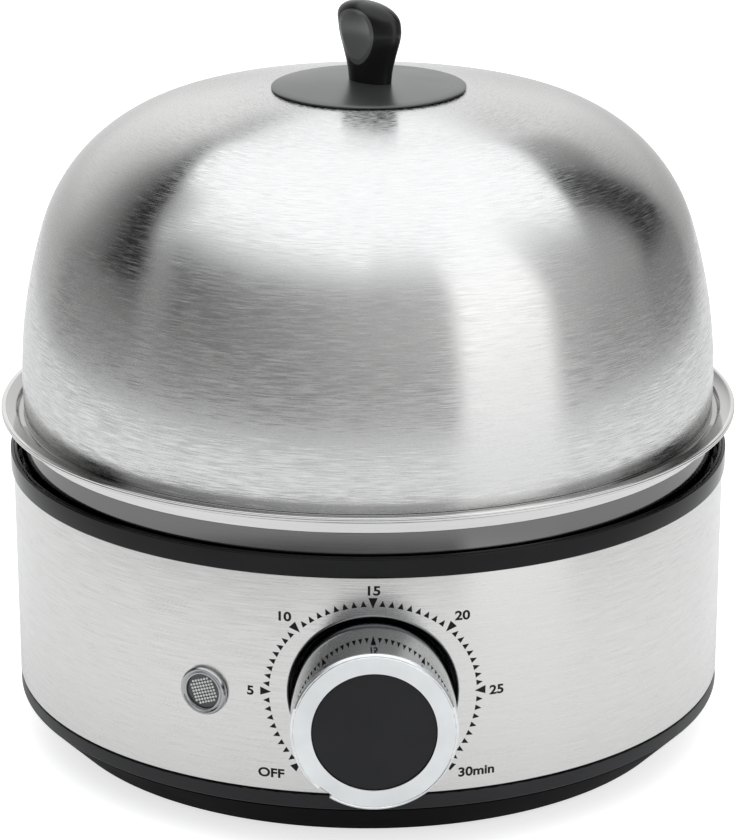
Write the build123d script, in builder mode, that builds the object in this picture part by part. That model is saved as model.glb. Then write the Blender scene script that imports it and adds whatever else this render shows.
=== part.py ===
from build123d import *
from math import acos, atan2, cos, degrees, pi, radians, sin, sqrt, tan
import os

# Electric egg cooker: a steel-clad base with a wind-up timer, a water pan, an egg rack and a domed lid.
# Millimetres. The origin is on the pan's axis at the floor, +Z is up and the dial faces -Y.

# Base shell
body_radius = 92.3          # steel band, outside
band_wall = 0.7
band_bottom = 16.2          # above the floor
band_height = 55.9
shell_clearance = 0.15      # between nested shells
hole_clearance = 0.1        # round what passes through the band
housing_wall = 2.4
foot_inset = 13.3           # edge of the housing's underside, in from the band
kink_inset = 5.3            # crease low on the housing, in from the band
kink_height = 8.7           # above the floor
kink_step = 0.8             # how far the part below the crease is set in
belly_bulge = 0.9           # how far the curve above the crease swells
foot_lift = 1.7             # underside of the housing above the floor
tongue_height = 4.0         # housing rim that stands inside the band
ring_inset = 9.5            # rubber foot ring's inner edge, in from the underside's edge
ring_width = 7.0
ring_groove = 1.2
service_inset = 30.0        # opening behind the bottom cover, in from the underside's edge
cover_lap = 7.5             # how far the cover reaches past that opening
cover_thickness = 2.0
cover_clearance = 0.4
vent_slot_count = 5         # slots in the bottom cover
vent_slot_length = 34.0
vent_slot_width = 3.0
vent_slot_spacing = 7.0
lip_thickness = 4.0

# Collar between the band and the pan
collar_rise = 5.0           # collar top above the band
collar_lap = 0.7            # collar outside the band
collar_wall = 1.8
ledge_drop = 3.1            # pan ledge below the band top
ledge_reach = 9.5           # collar ledge, inwards from its skirt
ledge_thickness = 3.0
skirt_wall = 1.4

# Heating pan
neck_inset = 2.9            # outside of the neck, in from the band
rim_reach = 5.6             # rim, out from the neck
rim_rise = 10.9             # rim top above the collar
flare_drop = 5.5            # foot of the flare below the rim top
flare_reach = 2.3           # top of the flare, out from the neck
pan_wall = 0.8
rim_bead = 0.65             # half the thickness of the rolled edge
seat_drop = 1.2             # lid seat below the rim top
seat_width = 1.9
well_inset = 9.0            # pan well, inwards from the neck
pan_depth = 7.0             # pan floor below the ledge
recess_inset = 34.4         # recess, in from the well
recess_depth = 1.5
stud_inset = 18.4           # posts that clamp the pan to the housing, in from the well
stud_count = 4
stud_radius = 3.2
stud_length = 8.0
tower_wall = 1.5
clamp_screw_radius = 1.5
clamp_head_radius = 2.9
clamp_head_height = 2.2
tower_cap = 8.0             # solid top of each tower, over the screw head
screw_clearance = 0.05

# Heater
plate_inset = 2.0           # heater plate, inwards from the recess
plate_thickness = 5.0
element_radius = 3.6
element_flat = 1.0          # depth of the flat where the tube is brazed on
element_sweep = 300.0       # degrees of ring
pin_radius = 1.2
pin_length = 7.0
thermostat_radius = 8.0
thermostat_height = 10.0
thermostat_ear = 5.0
ear_thickness = 1.0
tab_length = 7.0
tab_spacing = 10.0
tab_width = 4.8
tab_thickness = 0.8
fuse_radius = 2.0
fuse_length = 14.0
fuse_gap = 0.8              # thermostat ear to the fuse clip
clip_wall = 0.6
clip_width = 5.0
clip_reach = 5.0            # fuse to the clip's screw
plate_screw_depth = 4.0

# Dial and knob
dial_rise = 25.6            # knob axis above the band's lower edge
knob_radius = 19.6
knob_reach = 21.5           # knob face in front of the band
skirt_reach = 4.9           # black skirt in front of the band
skirt_sink = 2.5            # black skirt behind the band's front
skirt_inset = 0.25
knob_gap = 0.6              # knob to the edge of the opening
ring_face_width = 5.0       # bright face around the black disc
ring_wall = 1.2
edge_bevel = 0.5
face_thickness = 1.4
face_recess = 0.3
knob_fit = 0.1
core_web = 2.5
core_wall = 2.0
hub_radius = 6.0
pointer_width = 2.2
pointer_depth = 0.8
pointer_angle = 229.0       # seen from the front, counted from the right
cup_flange = 5.0
cup_wall = 1.0
cup_depth = 7.0
cup_floor = 1.5
cup_gap = 5.5               # cup floor to the timer bracket
cup_boss_wall = 1.8
cup_clearance = 0.3
cup_shaft_gap = 0.5

# Timer
shaft_radius = 3.0
shaft_flat = 0.8
running_gap = 0.05
bracket_thickness = 1.2
bracket_half_width = 21.0
bracket_half_height = 14.5
bracket_foot = 12.8
bracket_foot_half_width = 16.0
bracket_boss_spacing = 24.0
bracket_boss_height = 4.0
bracket_boss_radius = 3.5
timer_depth = 16.0          # between the two plates
pillar_radius = 1.8
pillar_inset = 2.6
gear_module = 0.5
wheel_teeth = 48
pinion_teeth = 16
pressure_angle = 20.0
gear_backlash = 0.12
wheel_thickness = 1.5
pinion_thickness = 2.5
pinion_angle = -45.0        # pinion's place, seen along +Y from the front
arbor_radius = 0.8
governor_teeth = 15
governor_module = 0.6
governor_thickness = 1.0
governor_gap = 3.0          # timer bracket to the governor wheel
barrel_radius = 8.5
barrel_thickness = 4.0
barrel_wall = 0.8
spring_thickness = 0.25
spring_pitch = 0.7
spring_half_turns = 8
cam_radius = 7.0
cam_thickness = 2.0
cam_notch = 1.0
cam_gap = 2.0               # timer bracket to the cam
barrel_gap = 0.5            # cam to the spring barrel
contact_gap = 0.3
contact_thickness = 0.4
contact_spacing = 1.6
contact_width = 2.0
contact_height = 18.0
contact_block_drop = 8.0    # contact block below the shaft
block_height = 5.0
block_width = 7.0
block_depth = 6.0
bell_radius = 12.0
bell_height = 7.0
bell_wall = 0.9
bell_offset = (-6.0, 2.0)   # bell centre from the shaft, across and up
bell_gap = 2.6              # back plate to the bell's mouth
post_radius = 2.0
post_head_radius = 3.2
post_head_height = 1.0
post_shoulder_radius = 3.0
striker_pivot = (14.0, -8.0)
striker_pin_radius = 1.2
striker_hub_radius = 2.6
striker_thickness = 1.6
striker_gap = 0.3           # back plate to the striker
striker_arm_width = 2.0
hammer_radius = 1.5
hammer_rest_gap = 1.8
hammer_length = 3.4
timer_screw_radius = 1.5
timer_screw_spacing = 33.0
timer_screw_length = 5.0

# Indicator lamp
lamp_drop = 1.0             # lamp below the knob axis
lamp_angle = -116.0         # round the body from +X
bezel_radius = 6.45
bezel_lip = 1.9
bezel_wall = 1.3
barrel_outer = 5.0
lamp_barrel_length = 9.0
lens_sink = 0.8
lens_thickness = 1.6
neon_radius = 2.2
neon_base = 3.0
neon_gap = 0.4              # glass tube to the lens
clip_ring_width = 2.6
clip_ring_thickness = 0.8

# Cord inlet
gland_rise = 14.8           # inlet above the band's lower edge
gland_radius = 6.0
gland_flange = 2.6
gland_flange_thickness = 2.4
gland_bore = 3.3
gland_length = 9.0
nut_width = 3.2
nut_thickness = 3.0
block_size = (24.0, 10.0, 9.0)
block_inset = 25.3          # terminal block, in from the band

# Small screws
small_screw_radius = 1.2
small_head_radius = 2.4
small_head_height = 1.4
small_screw_length = 5.0
small_screw_count = 3

# Leads
lead_radius = 1.1
lead_bend = 6.0
lead_rise = 16.4            # leads that cross the base, above the housing's floor
heater_lead_drop = 9.5      # below the thermostat's tabs
lamp_lead_rise = 6.5        # lamp leads above the others
lamp_lead_run = 9.0
lamp_lead_spacing = 3.6

# Egg rack
rack_clearance = 1.2
rack_thickness = 1.2
egg_hole_radius = 19.0
egg_margin = 12.4           # outer holes to the rack's edge
egg_count = 6
handle_wire = 1.5           # half its thickness
handle_inset = 5.4          # wire handles, in from the rack's edge
loop_width = 24.0
loop_height = 36.0
loop_bend = 8.0

# Lid
wall_lap = 0.75             # how far the lid's wall stands out over the pan's seat
dome_wall = 0.8
wall_rise = 7.0             # straight wall, above the seat
wall_foot_gap = 0.8         # shadow groove over the seat
wall_foot_inset = 0.35
flank_radius = 136.0
flank_turn = 17.54
shoulder_radius = 44.9
shoulder_turn = 60.93
skirt_fit = 0.4             # lid skirt to the pan neck
skirt_depth = 6.8
vent_radius = 2.2
vent_turn = 45.0
disc_radius = 24.6
disc_thickness = 0.8
disc_gap = 0.05
grip_height = 20.2          # handle above the disc
grip_width = 19.2
grip_thickness = 9.4
grip_neck_width = 12.8
grip_neck_thickness = 7.8
grip_turn = 45.0            # broad face, turned to the left of the front
thumb_radius = 26.0
thumb_depth = 1.2
thumb_height = 12.4         # middle of the thumb dish above the disc
pad_thickness = 0.6
handle_screw_radius = 2.0
handle_screw_reach = 10.0
handle_head_radius = 3.6
handle_head_height = 2.4
washer_radius = 7.0
washer_thickness = 1.0

# Heights and radii worked out from the sizes above
foot_radius = body_radius - foot_inset
kink_radius = body_radius - kink_inset
ring_inner = foot_radius - ring_inset
service_radius = foot_radius - service_inset
neck_radius = body_radius - neck_inset
rim_radius = neck_radius + rim_reach
band_top = band_bottom + band_height
band_inside = body_radius - band_wall
nested_radius = band_inside - shell_clearance
floor_top = foot_lift + housing_wall
cover_radius = service_radius + cover_lap
cover_seat_height = foot_lift + cover_thickness + cover_clearance / 2
lip_top = cover_seat_height + lip_thickness
collar_top = band_top + collar_rise
rim_height = collar_top + rim_rise
seat_height = rim_height - seat_drop
ledge_height = band_top - ledge_drop
neck_inside = neck_radius - pan_wall
well_radius = neck_radius - well_inset
recess_radius = well_radius - recess_inset
stud_circle = well_radius - stud_inset
pan_under = ledge_height - pan_depth
recess_under = pan_under - recess_depth
tower_top = pan_under - stud_length
tower_bore = clamp_head_radius + 0.6
tower_radius = tower_bore + tower_wall
plate_radius = recess_radius - plate_inset
ear_spacing = 2 * thermostat_radius + thermostat_ear
clip_half_width = fuse_radius + clip_wall
fuse_offset = ear_spacing / 2 + thermostat_ear + fuse_gap + clip_half_width
clip_screw_edge = fuse_offset + clip_reach + small_head_radius
element_circle = (clip_screw_edge + plate_radius) / 2
plate_under = recess_under - plate_thickness
thermostat_under = plate_under - thermostat_height
tab_bottom = thermostat_under - tab_length
pin_bottom = plate_under - 2 * element_radius + element_flat - pin_length
opening_radius = knob_radius + knob_gap
dial_height = band_bottom + dial_rise
lamp_height = dial_height - lamp_drop
gland_height = band_bottom + gland_rise
front = -body_radius
knob_front = front - knob_reach
skirt_front = front - skirt_reach
skirt_back = front + skirt_sink
cup_back = front + cup_depth + cup_floor
bracket_front = cup_back + cup_gap
bracket_back = bracket_front + bracket_thickness
plate_front = bracket_back + timer_depth
plate_back = plate_front + bracket_thickness
bracket_bottom = floor_top + bracket_boss_height
wheel_pitch = gear_module * wheel_teeth / 2
pinion_pitch = gear_module * pinion_teeth / 2
gear_distance = wheel_pitch + pinion_pitch
pinion_x = gear_distance * cos(radians(pinion_angle))
pinion_z = dial_height + gear_distance * sin(radians(pinion_angle))
bell_x = bell_offset[0]
bell_z = dial_height + bell_offset[1]
striker_x = striker_pivot[0]
striker_z = dial_height + striker_pivot[1]
hammer_x = bell_x + bell_radius + hammer_rest_gap + hammer_radius
hammer_z = bell_z
bell_mouth = plate_back + bell_gap
bell_crown = bell_mouth + bell_height
rack_bottom = ledge_height + pan_wall
rack_top = rack_bottom + rack_thickness
rack_radius = neck_inside - rack_clearance
egg_circle = rack_radius - egg_margin - egg_hole_radius
handle_circle = rack_radius - handle_inset
dome_radius = neck_inside + wall_lap
lead_level = floor_top + lead_rise
lamp_lead_level = lead_level + lamp_lead_rise
block_place = body_radius - block_inset
shoulder_base = seat_height + wall_rise
skirt_outside = neck_inside - skirt_fit
turn_sum = flank_turn + shoulder_turn

os.makedirs("parts", exist_ok=True)


def save(piece, name):
    piece.part.label = name
    export_step(piece.part, f"parts/{name}.step")


def around(angle, height, distance=0.0):
    """Plane that faces outwards at an angle round the body."""
    direction = (cos(radians(angle)), sin(radians(angle)))
    return Plane(
        origin=(distance * direction[0], distance * direction[1], height),
        x_dir=(-direction[1], direction[0], 0),
        z_dir=(direction[0], direction[1], 0),
    )


def dial_plane(y, x=0.0, z=dial_height):
    """Plane that faces the front, so a negative amount extrudes from it into the base."""
    return Plane(origin=(x, y, z), x_dir=(1, 0, 0), z_dir=(0, -1, 0))


def side_plane(z, x=0.0):
    """Level plane through a level axis, for the outline of a piece turned about that axis."""
    return Plane(origin=(x, 0, z), x_dir=(1, 0, 0), z_dir=(0, 0, 1))


def dome_outline(inwards, angle):
    """Point of the lid's section, at an angle from the horizontal and a distance in from its outside."""
    centre = Vector(dome_radius - flank_radius, shoulder_base)
    radius = flank_radius
    if angle > flank_turn:
        step = flank_radius - shoulder_radius
        centre += Vector(cos(radians(flank_turn)), sin(radians(flank_turn))) * step
        radius = shoulder_radius
    if angle > turn_sum:
        joint = centre + Vector(cos(radians(turn_sum)), sin(radians(turn_sum))) * shoulder_radius
        radius = joint.X / cos(radians(turn_sum))
        centre = Vector(0, joint.Y - radius * sin(radians(turn_sum)))
    reach = radius - inwards
    return Vector(centre.X + reach * cos(radians(angle)), centre.Y + reach * sin(radians(angle)))


dome_top = dome_outline(0, 90).Y
crown_joint = dome_outline(0, turn_sum)
crown_radius = crown_joint.X / cos(radians(turn_sum))
crown_centre = dome_top - crown_radius
disc_top = dome_top + disc_gap + disc_thickness


def gear_points(teeth, module, turn):
    """Outline of an involute gear with the middle of one tooth at the angle turn."""
    pitch = teeth * module / 2
    base = pitch * cos(radians(pressure_angle))
    tip = pitch + 0.9 * module
    root = pitch - 1.15 * module
    involute = tan(radians(pressure_angle)) - radians(pressure_angle)
    half_tooth = pi / 2 / teeth - gear_backlash / 2 / pitch
    flank_steps = 4
    flank_start = max(base, root)
    flank = []
    for step in range(flank_steps + 1):
        radius = flank_start + (tip - flank_start) * step / flank_steps
        roll = acos(min(1.0, base / radius))
        flank.append((radius, half_tooth + involute - (tan(roll) - roll)))
    rising = [(root, flank[0][1])] + flank if root < base else flank
    points = []
    for tooth in range(teeth):
        middle = radians(turn + 360 * tooth / teeth)
        points += [(r * cos(middle - a), r * sin(middle - a)) for r, a in rising]
        points += [(r * cos(middle + a), r * sin(middle + a)) for r, a in reversed(rising)]
    return points


def outward_section(angle, height):
    """Upright plane whose x runs outwards at an angle round the body and whose y is the radius."""
    direction = (cos(radians(angle)), sin(radians(angle)))
    return Plane(
        origin=(0, 0, height),
        x_dir=(direction[0], direction[1], 0),
        z_dir=(direction[1], -direction[0], 0),
    )


def outward_axis(angle, height):
    return Axis((0, 0, height), (cos(radians(angle)), sin(radians(angle)), 0))


def cap_rise(edge, rise, radius):
    """Rise of a spherical cap over its base, at a radius."""
    sphere = (edge**2 + rise**2) / 2 / rise
    return rise - sphere + sqrt(sphere**2 - radius**2)


def crown_height(radius, outwards):
    """Height of the lid's crown at a radius, for a surface a distance out from its outside."""
    return crown_centre + sqrt((crown_radius + outwards) ** 2 - radius**2)


# Lower housing: a black bowl with four hollow towers that the pan is clamped to
with BuildPart() as lower_housing:
    belly_middle = (
        (kink_radius + body_radius) / 2 + belly_bulge,
        (kink_height + band_bottom) / 2 - belly_bulge,
    )
    cover_seat_radius = cover_radius + cover_clearance
    ring_outer = ring_inner + ring_width
    with BuildSketch(Plane.XZ):
        with BuildLine():
            Polyline(
                (cover_seat_radius, foot_lift),
                (ring_inner, foot_lift),
                (ring_inner, foot_lift + ring_groove),
                (ring_outer, foot_lift + ring_groove),
                (ring_outer, foot_lift),
                (foot_radius, foot_lift),
                (kink_radius - kink_step, kink_height),
                (kink_radius, kink_height),
            )
            ThreePointArc((kink_radius, kink_height), belly_middle, (body_radius, band_bottom))
            Polyline(
                (body_radius, band_bottom),
                (nested_radius, band_bottom),
                (nested_radius, band_bottom + tongue_height),
                (nested_radius - housing_wall, band_bottom + tongue_height),
                (nested_radius - housing_wall, band_bottom),
                (kink_radius - kink_step - housing_wall, kink_height),
                (foot_radius - housing_wall, floor_top),
                (cover_seat_radius + housing_wall, floor_top),
                (cover_seat_radius + housing_wall, lip_top),
                (service_radius, lip_top),
                (service_radius, cover_seat_height),
                (cover_seat_radius, cover_seat_height),
                (cover_seat_radius, foot_lift),
            )
        make_face()
    revolve(axis=Axis.Z)
    with BuildSketch(Plane.XY.offset(floor_top)):
        with PolarLocations(stud_circle, stud_count, start_angle=180 / stud_count):
            Circle(tower_radius)
    extrude(amount=tower_top - floor_top)
    with BuildSketch(Plane.XY.offset(floor_top)):
        with Locations((0, bracket_back + bracket_foot / 2)):
            with GridLocations(bracket_boss_spacing, 0, 2, 1):
                Circle(bracket_boss_radius)
    extrude(amount=bracket_boss_height)
    with BuildSketch(Plane.XY.offset(foot_lift)):
        with PolarLocations(stud_circle, stud_count, start_angle=180 / stud_count):
            Circle(tower_bore)
    extrude(amount=tower_top - tower_cap - foot_lift, mode=Mode.SUBTRACT)
    with BuildSketch(Plane.XY.offset(foot_lift)):
        with PolarLocations(stud_circle, stud_count, start_angle=180 / stud_count):
            Circle(clamp_screw_radius + screw_clearance)
    extrude(amount=tower_top - foot_lift, mode=Mode.SUBTRACT)
    with BuildSketch(Plane.XY.offset(cover_seat_height)):
        with PolarLocations(service_radius + cover_lap / 2, small_screw_count, start_angle=90):
            Circle(small_screw_radius + screw_clearance)
    extrude(amount=lip_thickness, mode=Mode.SUBTRACT)
    with BuildSketch(Plane.XY.offset(bracket_bottom)):
        with Locations((0, bracket_back + bracket_foot / 2)):
            with GridLocations(bracket_boss_spacing, 0, 2, 1):
                Circle(small_screw_radius + screw_clearance)
    extrude(amount=bracket_thickness - small_screw_length, mode=Mode.SUBTRACT)
save(lower_housing, "lower_housing")

# Bottom cover with vent slots
with BuildPart() as bottom_cover:
    cover_bottom = cover_seat_height - cover_thickness
    with BuildSketch(Plane.XY.offset(cover_bottom)):
        Circle(cover_radius)
        with PolarLocations(service_radius + cover_lap / 2, small_screw_count, start_angle=90):
            Circle(small_screw_radius + screw_clearance, mode=Mode.SUBTRACT)
        with GridLocations(vent_slot_spacing, 0, vent_slot_count, 1):
            SlotOverall(vent_slot_length, vent_slot_width, rotation=90, mode=Mode.SUBTRACT)
    extrude(amount=cover_thickness)
save(bottom_cover, "bottom_cover")

with BuildPart() as cover_screws:
    with BuildSketch(Plane.XY.offset(cover_bottom - small_head_height)):
        with PolarLocations(service_radius + cover_lap / 2, small_screw_count, start_angle=90):
            Circle(small_head_radius)
    extrude(amount=small_head_height)
    with BuildSketch(Plane.XY.offset(cover_bottom)):
        with PolarLocations(service_radius + cover_lap / 2, small_screw_count, start_angle=90):
            Circle(small_screw_radius)
    extrude(amount=small_screw_length)
save(cover_screws, "cover_screws")

# Rubber ring that the cooker stands on
with BuildPart() as foot_ring:
    with BuildSketch():
        Circle(ring_outer - shell_clearance)
        Circle(ring_inner + shell_clearance, mode=Mode.SUBTRACT)
    extrude(amount=foot_lift + ring_groove)
    chamfer(foot_ring.edges().group_by(Axis.Z)[0], length=foot_lift / 4)
save(foot_ring, "foot_ring")

# Brushed steel band, with openings for the knob, the lamp and the cord inlet
with BuildPart() as steel_band:
    with BuildSketch(Plane.XY.offset(band_bottom)):
        Circle(body_radius)
        Circle(band_inside, mode=Mode.SUBTRACT)
    extrude(amount=band_height)
    with BuildSketch(around(-90, dial_height)):
        Circle(opening_radius)
    extrude(amount=2 * body_radius, mode=Mode.SUBTRACT)
    with BuildSketch(around(lamp_angle, lamp_height)):
        Circle(barrel_outer + hole_clearance)
    extrude(amount=2 * body_radius, mode=Mode.SUBTRACT)
    with BuildSketch(around(90, gland_height)):
        Circle(gland_radius + hole_clearance)
    extrude(amount=2 * body_radius, mode=Mode.SUBTRACT)
save(steel_band, "steel_band")

# Collar: stands on the band and carries the pan on an inner ledge
with BuildPart() as top_collar:
    collar_outside = body_radius + collar_lap
    with BuildSketch(Plane.XZ):
        with BuildLine():
            Polyline(
                (collar_outside, band_top),
                (collar_outside, collar_top),
                (collar_outside - collar_wall, collar_top),
                (collar_outside - collar_wall, band_top + skirt_wall),
                (nested_radius - skirt_wall, band_top),
                (nested_radius - skirt_wall, ledge_height),
                (nested_radius - ledge_reach, ledge_height),
                (nested_radius - ledge_reach, ledge_height - ledge_thickness),
                (nested_radius, ledge_height - ledge_thickness),
                (nested_radius, band_top),
                close=True,
            )
        make_face()
    revolve(axis=Axis.Z)
    outer_edge = top_collar.edges().group_by(Axis.Z)[-1].sort_by(SortBy.RADIUS)[-1]
    fillet(outer_edge, radius=collar_wall / 3)
save(top_collar, "top_collar")

# Heating pan: dished rim over a flare, neck, ledge, well and a shallow recess over the heater
with BuildPart() as heating_pan:
    slope_start = neck_inside + seat_width
    bead_height = rim_height - rim_bead
    with BuildSketch(Plane.XZ):
        with BuildLine():
            Polyline(
                (0, recess_under),
                (recess_radius, recess_under),
                (recess_radius, pan_under),
                (well_radius, pan_under),
                (well_radius, ledge_height),
                (neck_radius, ledge_height),
                (neck_radius, rim_height - flare_drop),
                (neck_radius + flare_reach, rim_height - 2 * rim_bead),
                (rim_radius - rim_bead, rim_height - 2 * rim_bead),
            )
            ThreePointArc(
                (rim_radius - rim_bead, rim_height - 2 * rim_bead),
                (rim_radius, bead_height),
                (rim_radius - rim_bead, rim_height),
            )
            Polyline(
                (rim_radius - rim_bead, rim_height),
                (slope_start, seat_height),
                (neck_inside, seat_height),
                (neck_inside, rack_bottom),
                (well_radius - pan_wall, rack_bottom),
                (well_radius - pan_wall, pan_under + pan_wall),
                (recess_radius - pan_wall, pan_under + pan_wall),
                (recess_radius - pan_wall, recess_under + pan_wall),
                (0, recess_under + pan_wall),
                (0, recess_under),
            )
        make_face()
    revolve(axis=Axis.Z)
save(heating_pan, "heating_pan")

with BuildPart() as pan_studs:
    with BuildSketch(Plane.XY.offset(tower_top)):
        with PolarLocations(stud_circle, stud_count, start_angle=180 / stud_count):
            Circle(stud_radius)
            Circle(clamp_screw_radius + screw_clearance, mode=Mode.SUBTRACT)
    extrude(amount=stud_length)
save(pan_studs, "pan_studs")

with BuildPart() as clamp_screws:
    head_top = tower_top - tower_cap
    with BuildSketch(Plane.XY.offset(head_top - clamp_head_height)):
        with PolarLocations(stud_circle, stud_count, start_angle=180 / stud_count):
            Circle(clamp_head_radius)
            RegularPolygon(clamp_screw_radius, 6, mode=Mode.SUBTRACT)
    extrude(amount=clamp_head_height)
    with BuildSketch(Plane.XY.offset(head_top)):
        with PolarLocations(stud_circle, stud_count, start_angle=180 / stud_count):
            Circle(clamp_screw_radius)
    extrude(amount=tower_cap + stud_length * 0.75)
save(clamp_screws, "clamp_screws")

# Heater plate, with the flattened tube brazed below it
with BuildPart() as heater_plate:
    with BuildSketch(Plane.XY.offset(plate_under)):
        Circle(plate_radius)
    extrude(amount=plate_thickness)
    fillet(heater_plate.edges().group_by(Axis.Z)[0], radius=plate_thickness / 4)
    with BuildSketch(Plane.XY.offset(plate_under)):
        with GridLocations(0, ear_spacing, 1, 2):
            Circle(small_screw_radius + screw_clearance)
        with Locations((0, -fuse_offset - clip_reach)):
            Circle(small_screw_radius + screw_clearance)
    extrude(amount=plate_screw_depth, mode=Mode.SUBTRACT)
save(heater_plate, "heater_plate")

element_middle = plate_under - element_radius + element_flat
element_start = 90 + (360 - element_sweep) / 2
pin_turn = 4.0
element_pins = [
    (element_circle * cos(radians(angle)), element_circle * sin(radians(angle)))
    for angle in (element_start + pin_turn, element_start + element_sweep - pin_turn)
]
with BuildPart() as heating_element:
    section_plane = Plane(
        origin=(0, 0, element_middle),
        x_dir=(cos(radians(element_start)), sin(radians(element_start)), 0),
        z_dir=(sin(radians(element_start)), -cos(radians(element_start)), 0),
    )
    with BuildSketch(section_plane):
        with Locations((element_circle, 0)):
            Circle(element_radius)
        with Locations((element_circle, element_radius - element_flat / 2)):
            Rectangle(2 * element_radius, element_flat, mode=Mode.SUBTRACT)
    revolve(axis=Axis((0, 0, element_middle), (0, 0, 1)), revolution_arc=element_sweep)
    with BuildSketch(Plane.XY.offset(element_middle)):
        with Locations(*element_pins):
            Circle(pin_radius)
    extrude(amount=pin_bottom - element_middle)
save(heating_element, "heating_element")

# Snap thermostat under the middle of the plate
with BuildPart() as thermostat:
    with BuildSketch(Plane.XY.offset(thermostat_under)):
        Circle(thermostat_radius)
    extrude(amount=thermostat_height)
    with BuildSketch(Plane.XY.offset(plate_under - ear_thickness)):
        with GridLocations(0, ear_spacing, 1, 2):
            Rectangle(2 * thermostat_ear, 2 * thermostat_ear)
    extrude(amount=ear_thickness)
    with BuildSketch(Plane.XY.offset(plate_under - ear_thickness)):
        with GridLocations(0, ear_spacing, 1, 2):
            Circle(small_screw_radius + screw_clearance)
    extrude(amount=ear_thickness, mode=Mode.SUBTRACT)
    with BuildSketch(Plane.XY.offset(tab_bottom)):
        with GridLocations(tab_spacing, 0, 2, 1):
            Rectangle(tab_thickness, tab_width)
    extrude(amount=tab_length)
save(thermostat, "thermostat")

# Thermal fuse in its clip, under the front of the plate
with BuildPart() as thermal_fuse:
    with BuildSketch(Plane.YZ.offset(-fuse_length / 2)):
        with Locations((-fuse_offset, plate_under - fuse_radius)):
            Circle(fuse_radius)
    extrude(amount=fuse_length)
save(thermal_fuse, "thermal_fuse")

with BuildPart() as fuse_clip:
    with BuildSketch(Plane.YZ.offset(-clip_width / 2)):
        with Locations((-fuse_offset, plate_under - fuse_radius)):
            Circle(clip_half_width)
        with Locations((-fuse_offset, plate_under + clip_half_width / 2)):
            Rectangle(2 * clip_half_width, clip_half_width, mode=Mode.SUBTRACT)
        with Locations((-fuse_offset, plate_under - fuse_radius / 2)):
            Rectangle(2 * clip_half_width, fuse_radius)
        with Locations((-fuse_offset - (clip_reach + clip_half_width) / 2, plate_under - clip_wall / 2)):
            Rectangle(clip_reach + clip_half_width, clip_wall)
        with Locations((-fuse_offset, plate_under - fuse_radius)):
            Circle(fuse_radius + screw_clearance, mode=Mode.SUBTRACT)
        with Locations((-fuse_offset, plate_under - fuse_radius / 2)):
            Rectangle(2 * (fuse_radius + screw_clearance), fuse_radius, mode=Mode.SUBTRACT)
    extrude(amount=clip_width)
    with BuildSketch(Plane.XY.offset(plate_under - clip_wall)):
        with Locations((0, -fuse_offset - clip_reach)):
            Circle(small_screw_radius + screw_clearance)
    extrude(amount=clip_wall, mode=Mode.SUBTRACT)
save(fuse_clip, "fuse_clip")

with BuildPart() as heater_screws:
    ear_places = [(0, -ear_spacing / 2), (0, ear_spacing / 2)]
    clip_place = (0, -fuse_offset - clip_reach)
    for places, seat in ((ear_places, ear_thickness), ([clip_place], clip_wall)):
        with BuildSketch(Plane.XY.offset(plate_under - seat - small_head_height)):
            with Locations(*places):
                Circle(small_head_radius)
        extrude(amount=small_head_height)
        with BuildSketch(Plane.XY.offset(plate_under - seat)):
            with Locations(*places):
                Circle(small_screw_radius)
        extrude(amount=seat + plate_screw_depth)
save(heater_screws, "heater_screws")

# Dial cup: the black recess that the knob stands in, fitted inside the band
with BuildPart() as dial_cup:
    cup_radius = opening_radius + cup_wall
    flange_radius = opening_radius + cup_flange
    flange_back = front + cup_depth - cup_floor
    with BuildSketch(dial_plane(front)):
        Circle(flange_radius)
    extrude(amount=-cup_depth)
    flange_low = band_bottom + tongue_height + cup_clearance
    flange_high = ledge_height - ledge_thickness - cup_clearance
    with BuildSketch(Plane.XY.offset(flange_low)):
        Circle(nested_radius)
    extrude(amount=flange_high - flange_low, mode=Mode.INTERSECT)
    with BuildSketch(dial_plane(flange_back)):
        Circle(flange_radius)
        Circle(cup_radius, mode=Mode.SUBTRACT)
    extrude(amount=-cup_floor, mode=Mode.SUBTRACT)
    with BuildSketch(dial_plane(front + cup_depth)):
        Circle(cup_radius)
    extrude(amount=-cup_floor)
    with BuildSketch(dial_plane(cup_back)):
        with GridLocations(timer_screw_spacing, 0, 2, 1):
            Circle(timer_screw_radius + cup_boss_wall)
    extrude(amount=-cup_gap)
    with BuildSketch(dial_plane(front)):
        Circle(opening_radius)
    extrude(amount=-cup_depth, mode=Mode.SUBTRACT)
    with BuildSketch(dial_plane(front)):
        Circle(shaft_radius + cup_shaft_gap)
    extrude(amount=-cup_depth - cup_floor, mode=Mode.SUBTRACT)
    with BuildSketch(dial_plane(bracket_front)):
        with GridLocations(timer_screw_spacing, 0, 2, 1):
            Circle(timer_screw_radius + screw_clearance)
    extrude(amount=timer_screw_length - bracket_thickness, mode=Mode.SUBTRACT)
save(dial_cup, "dial_cup")

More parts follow.
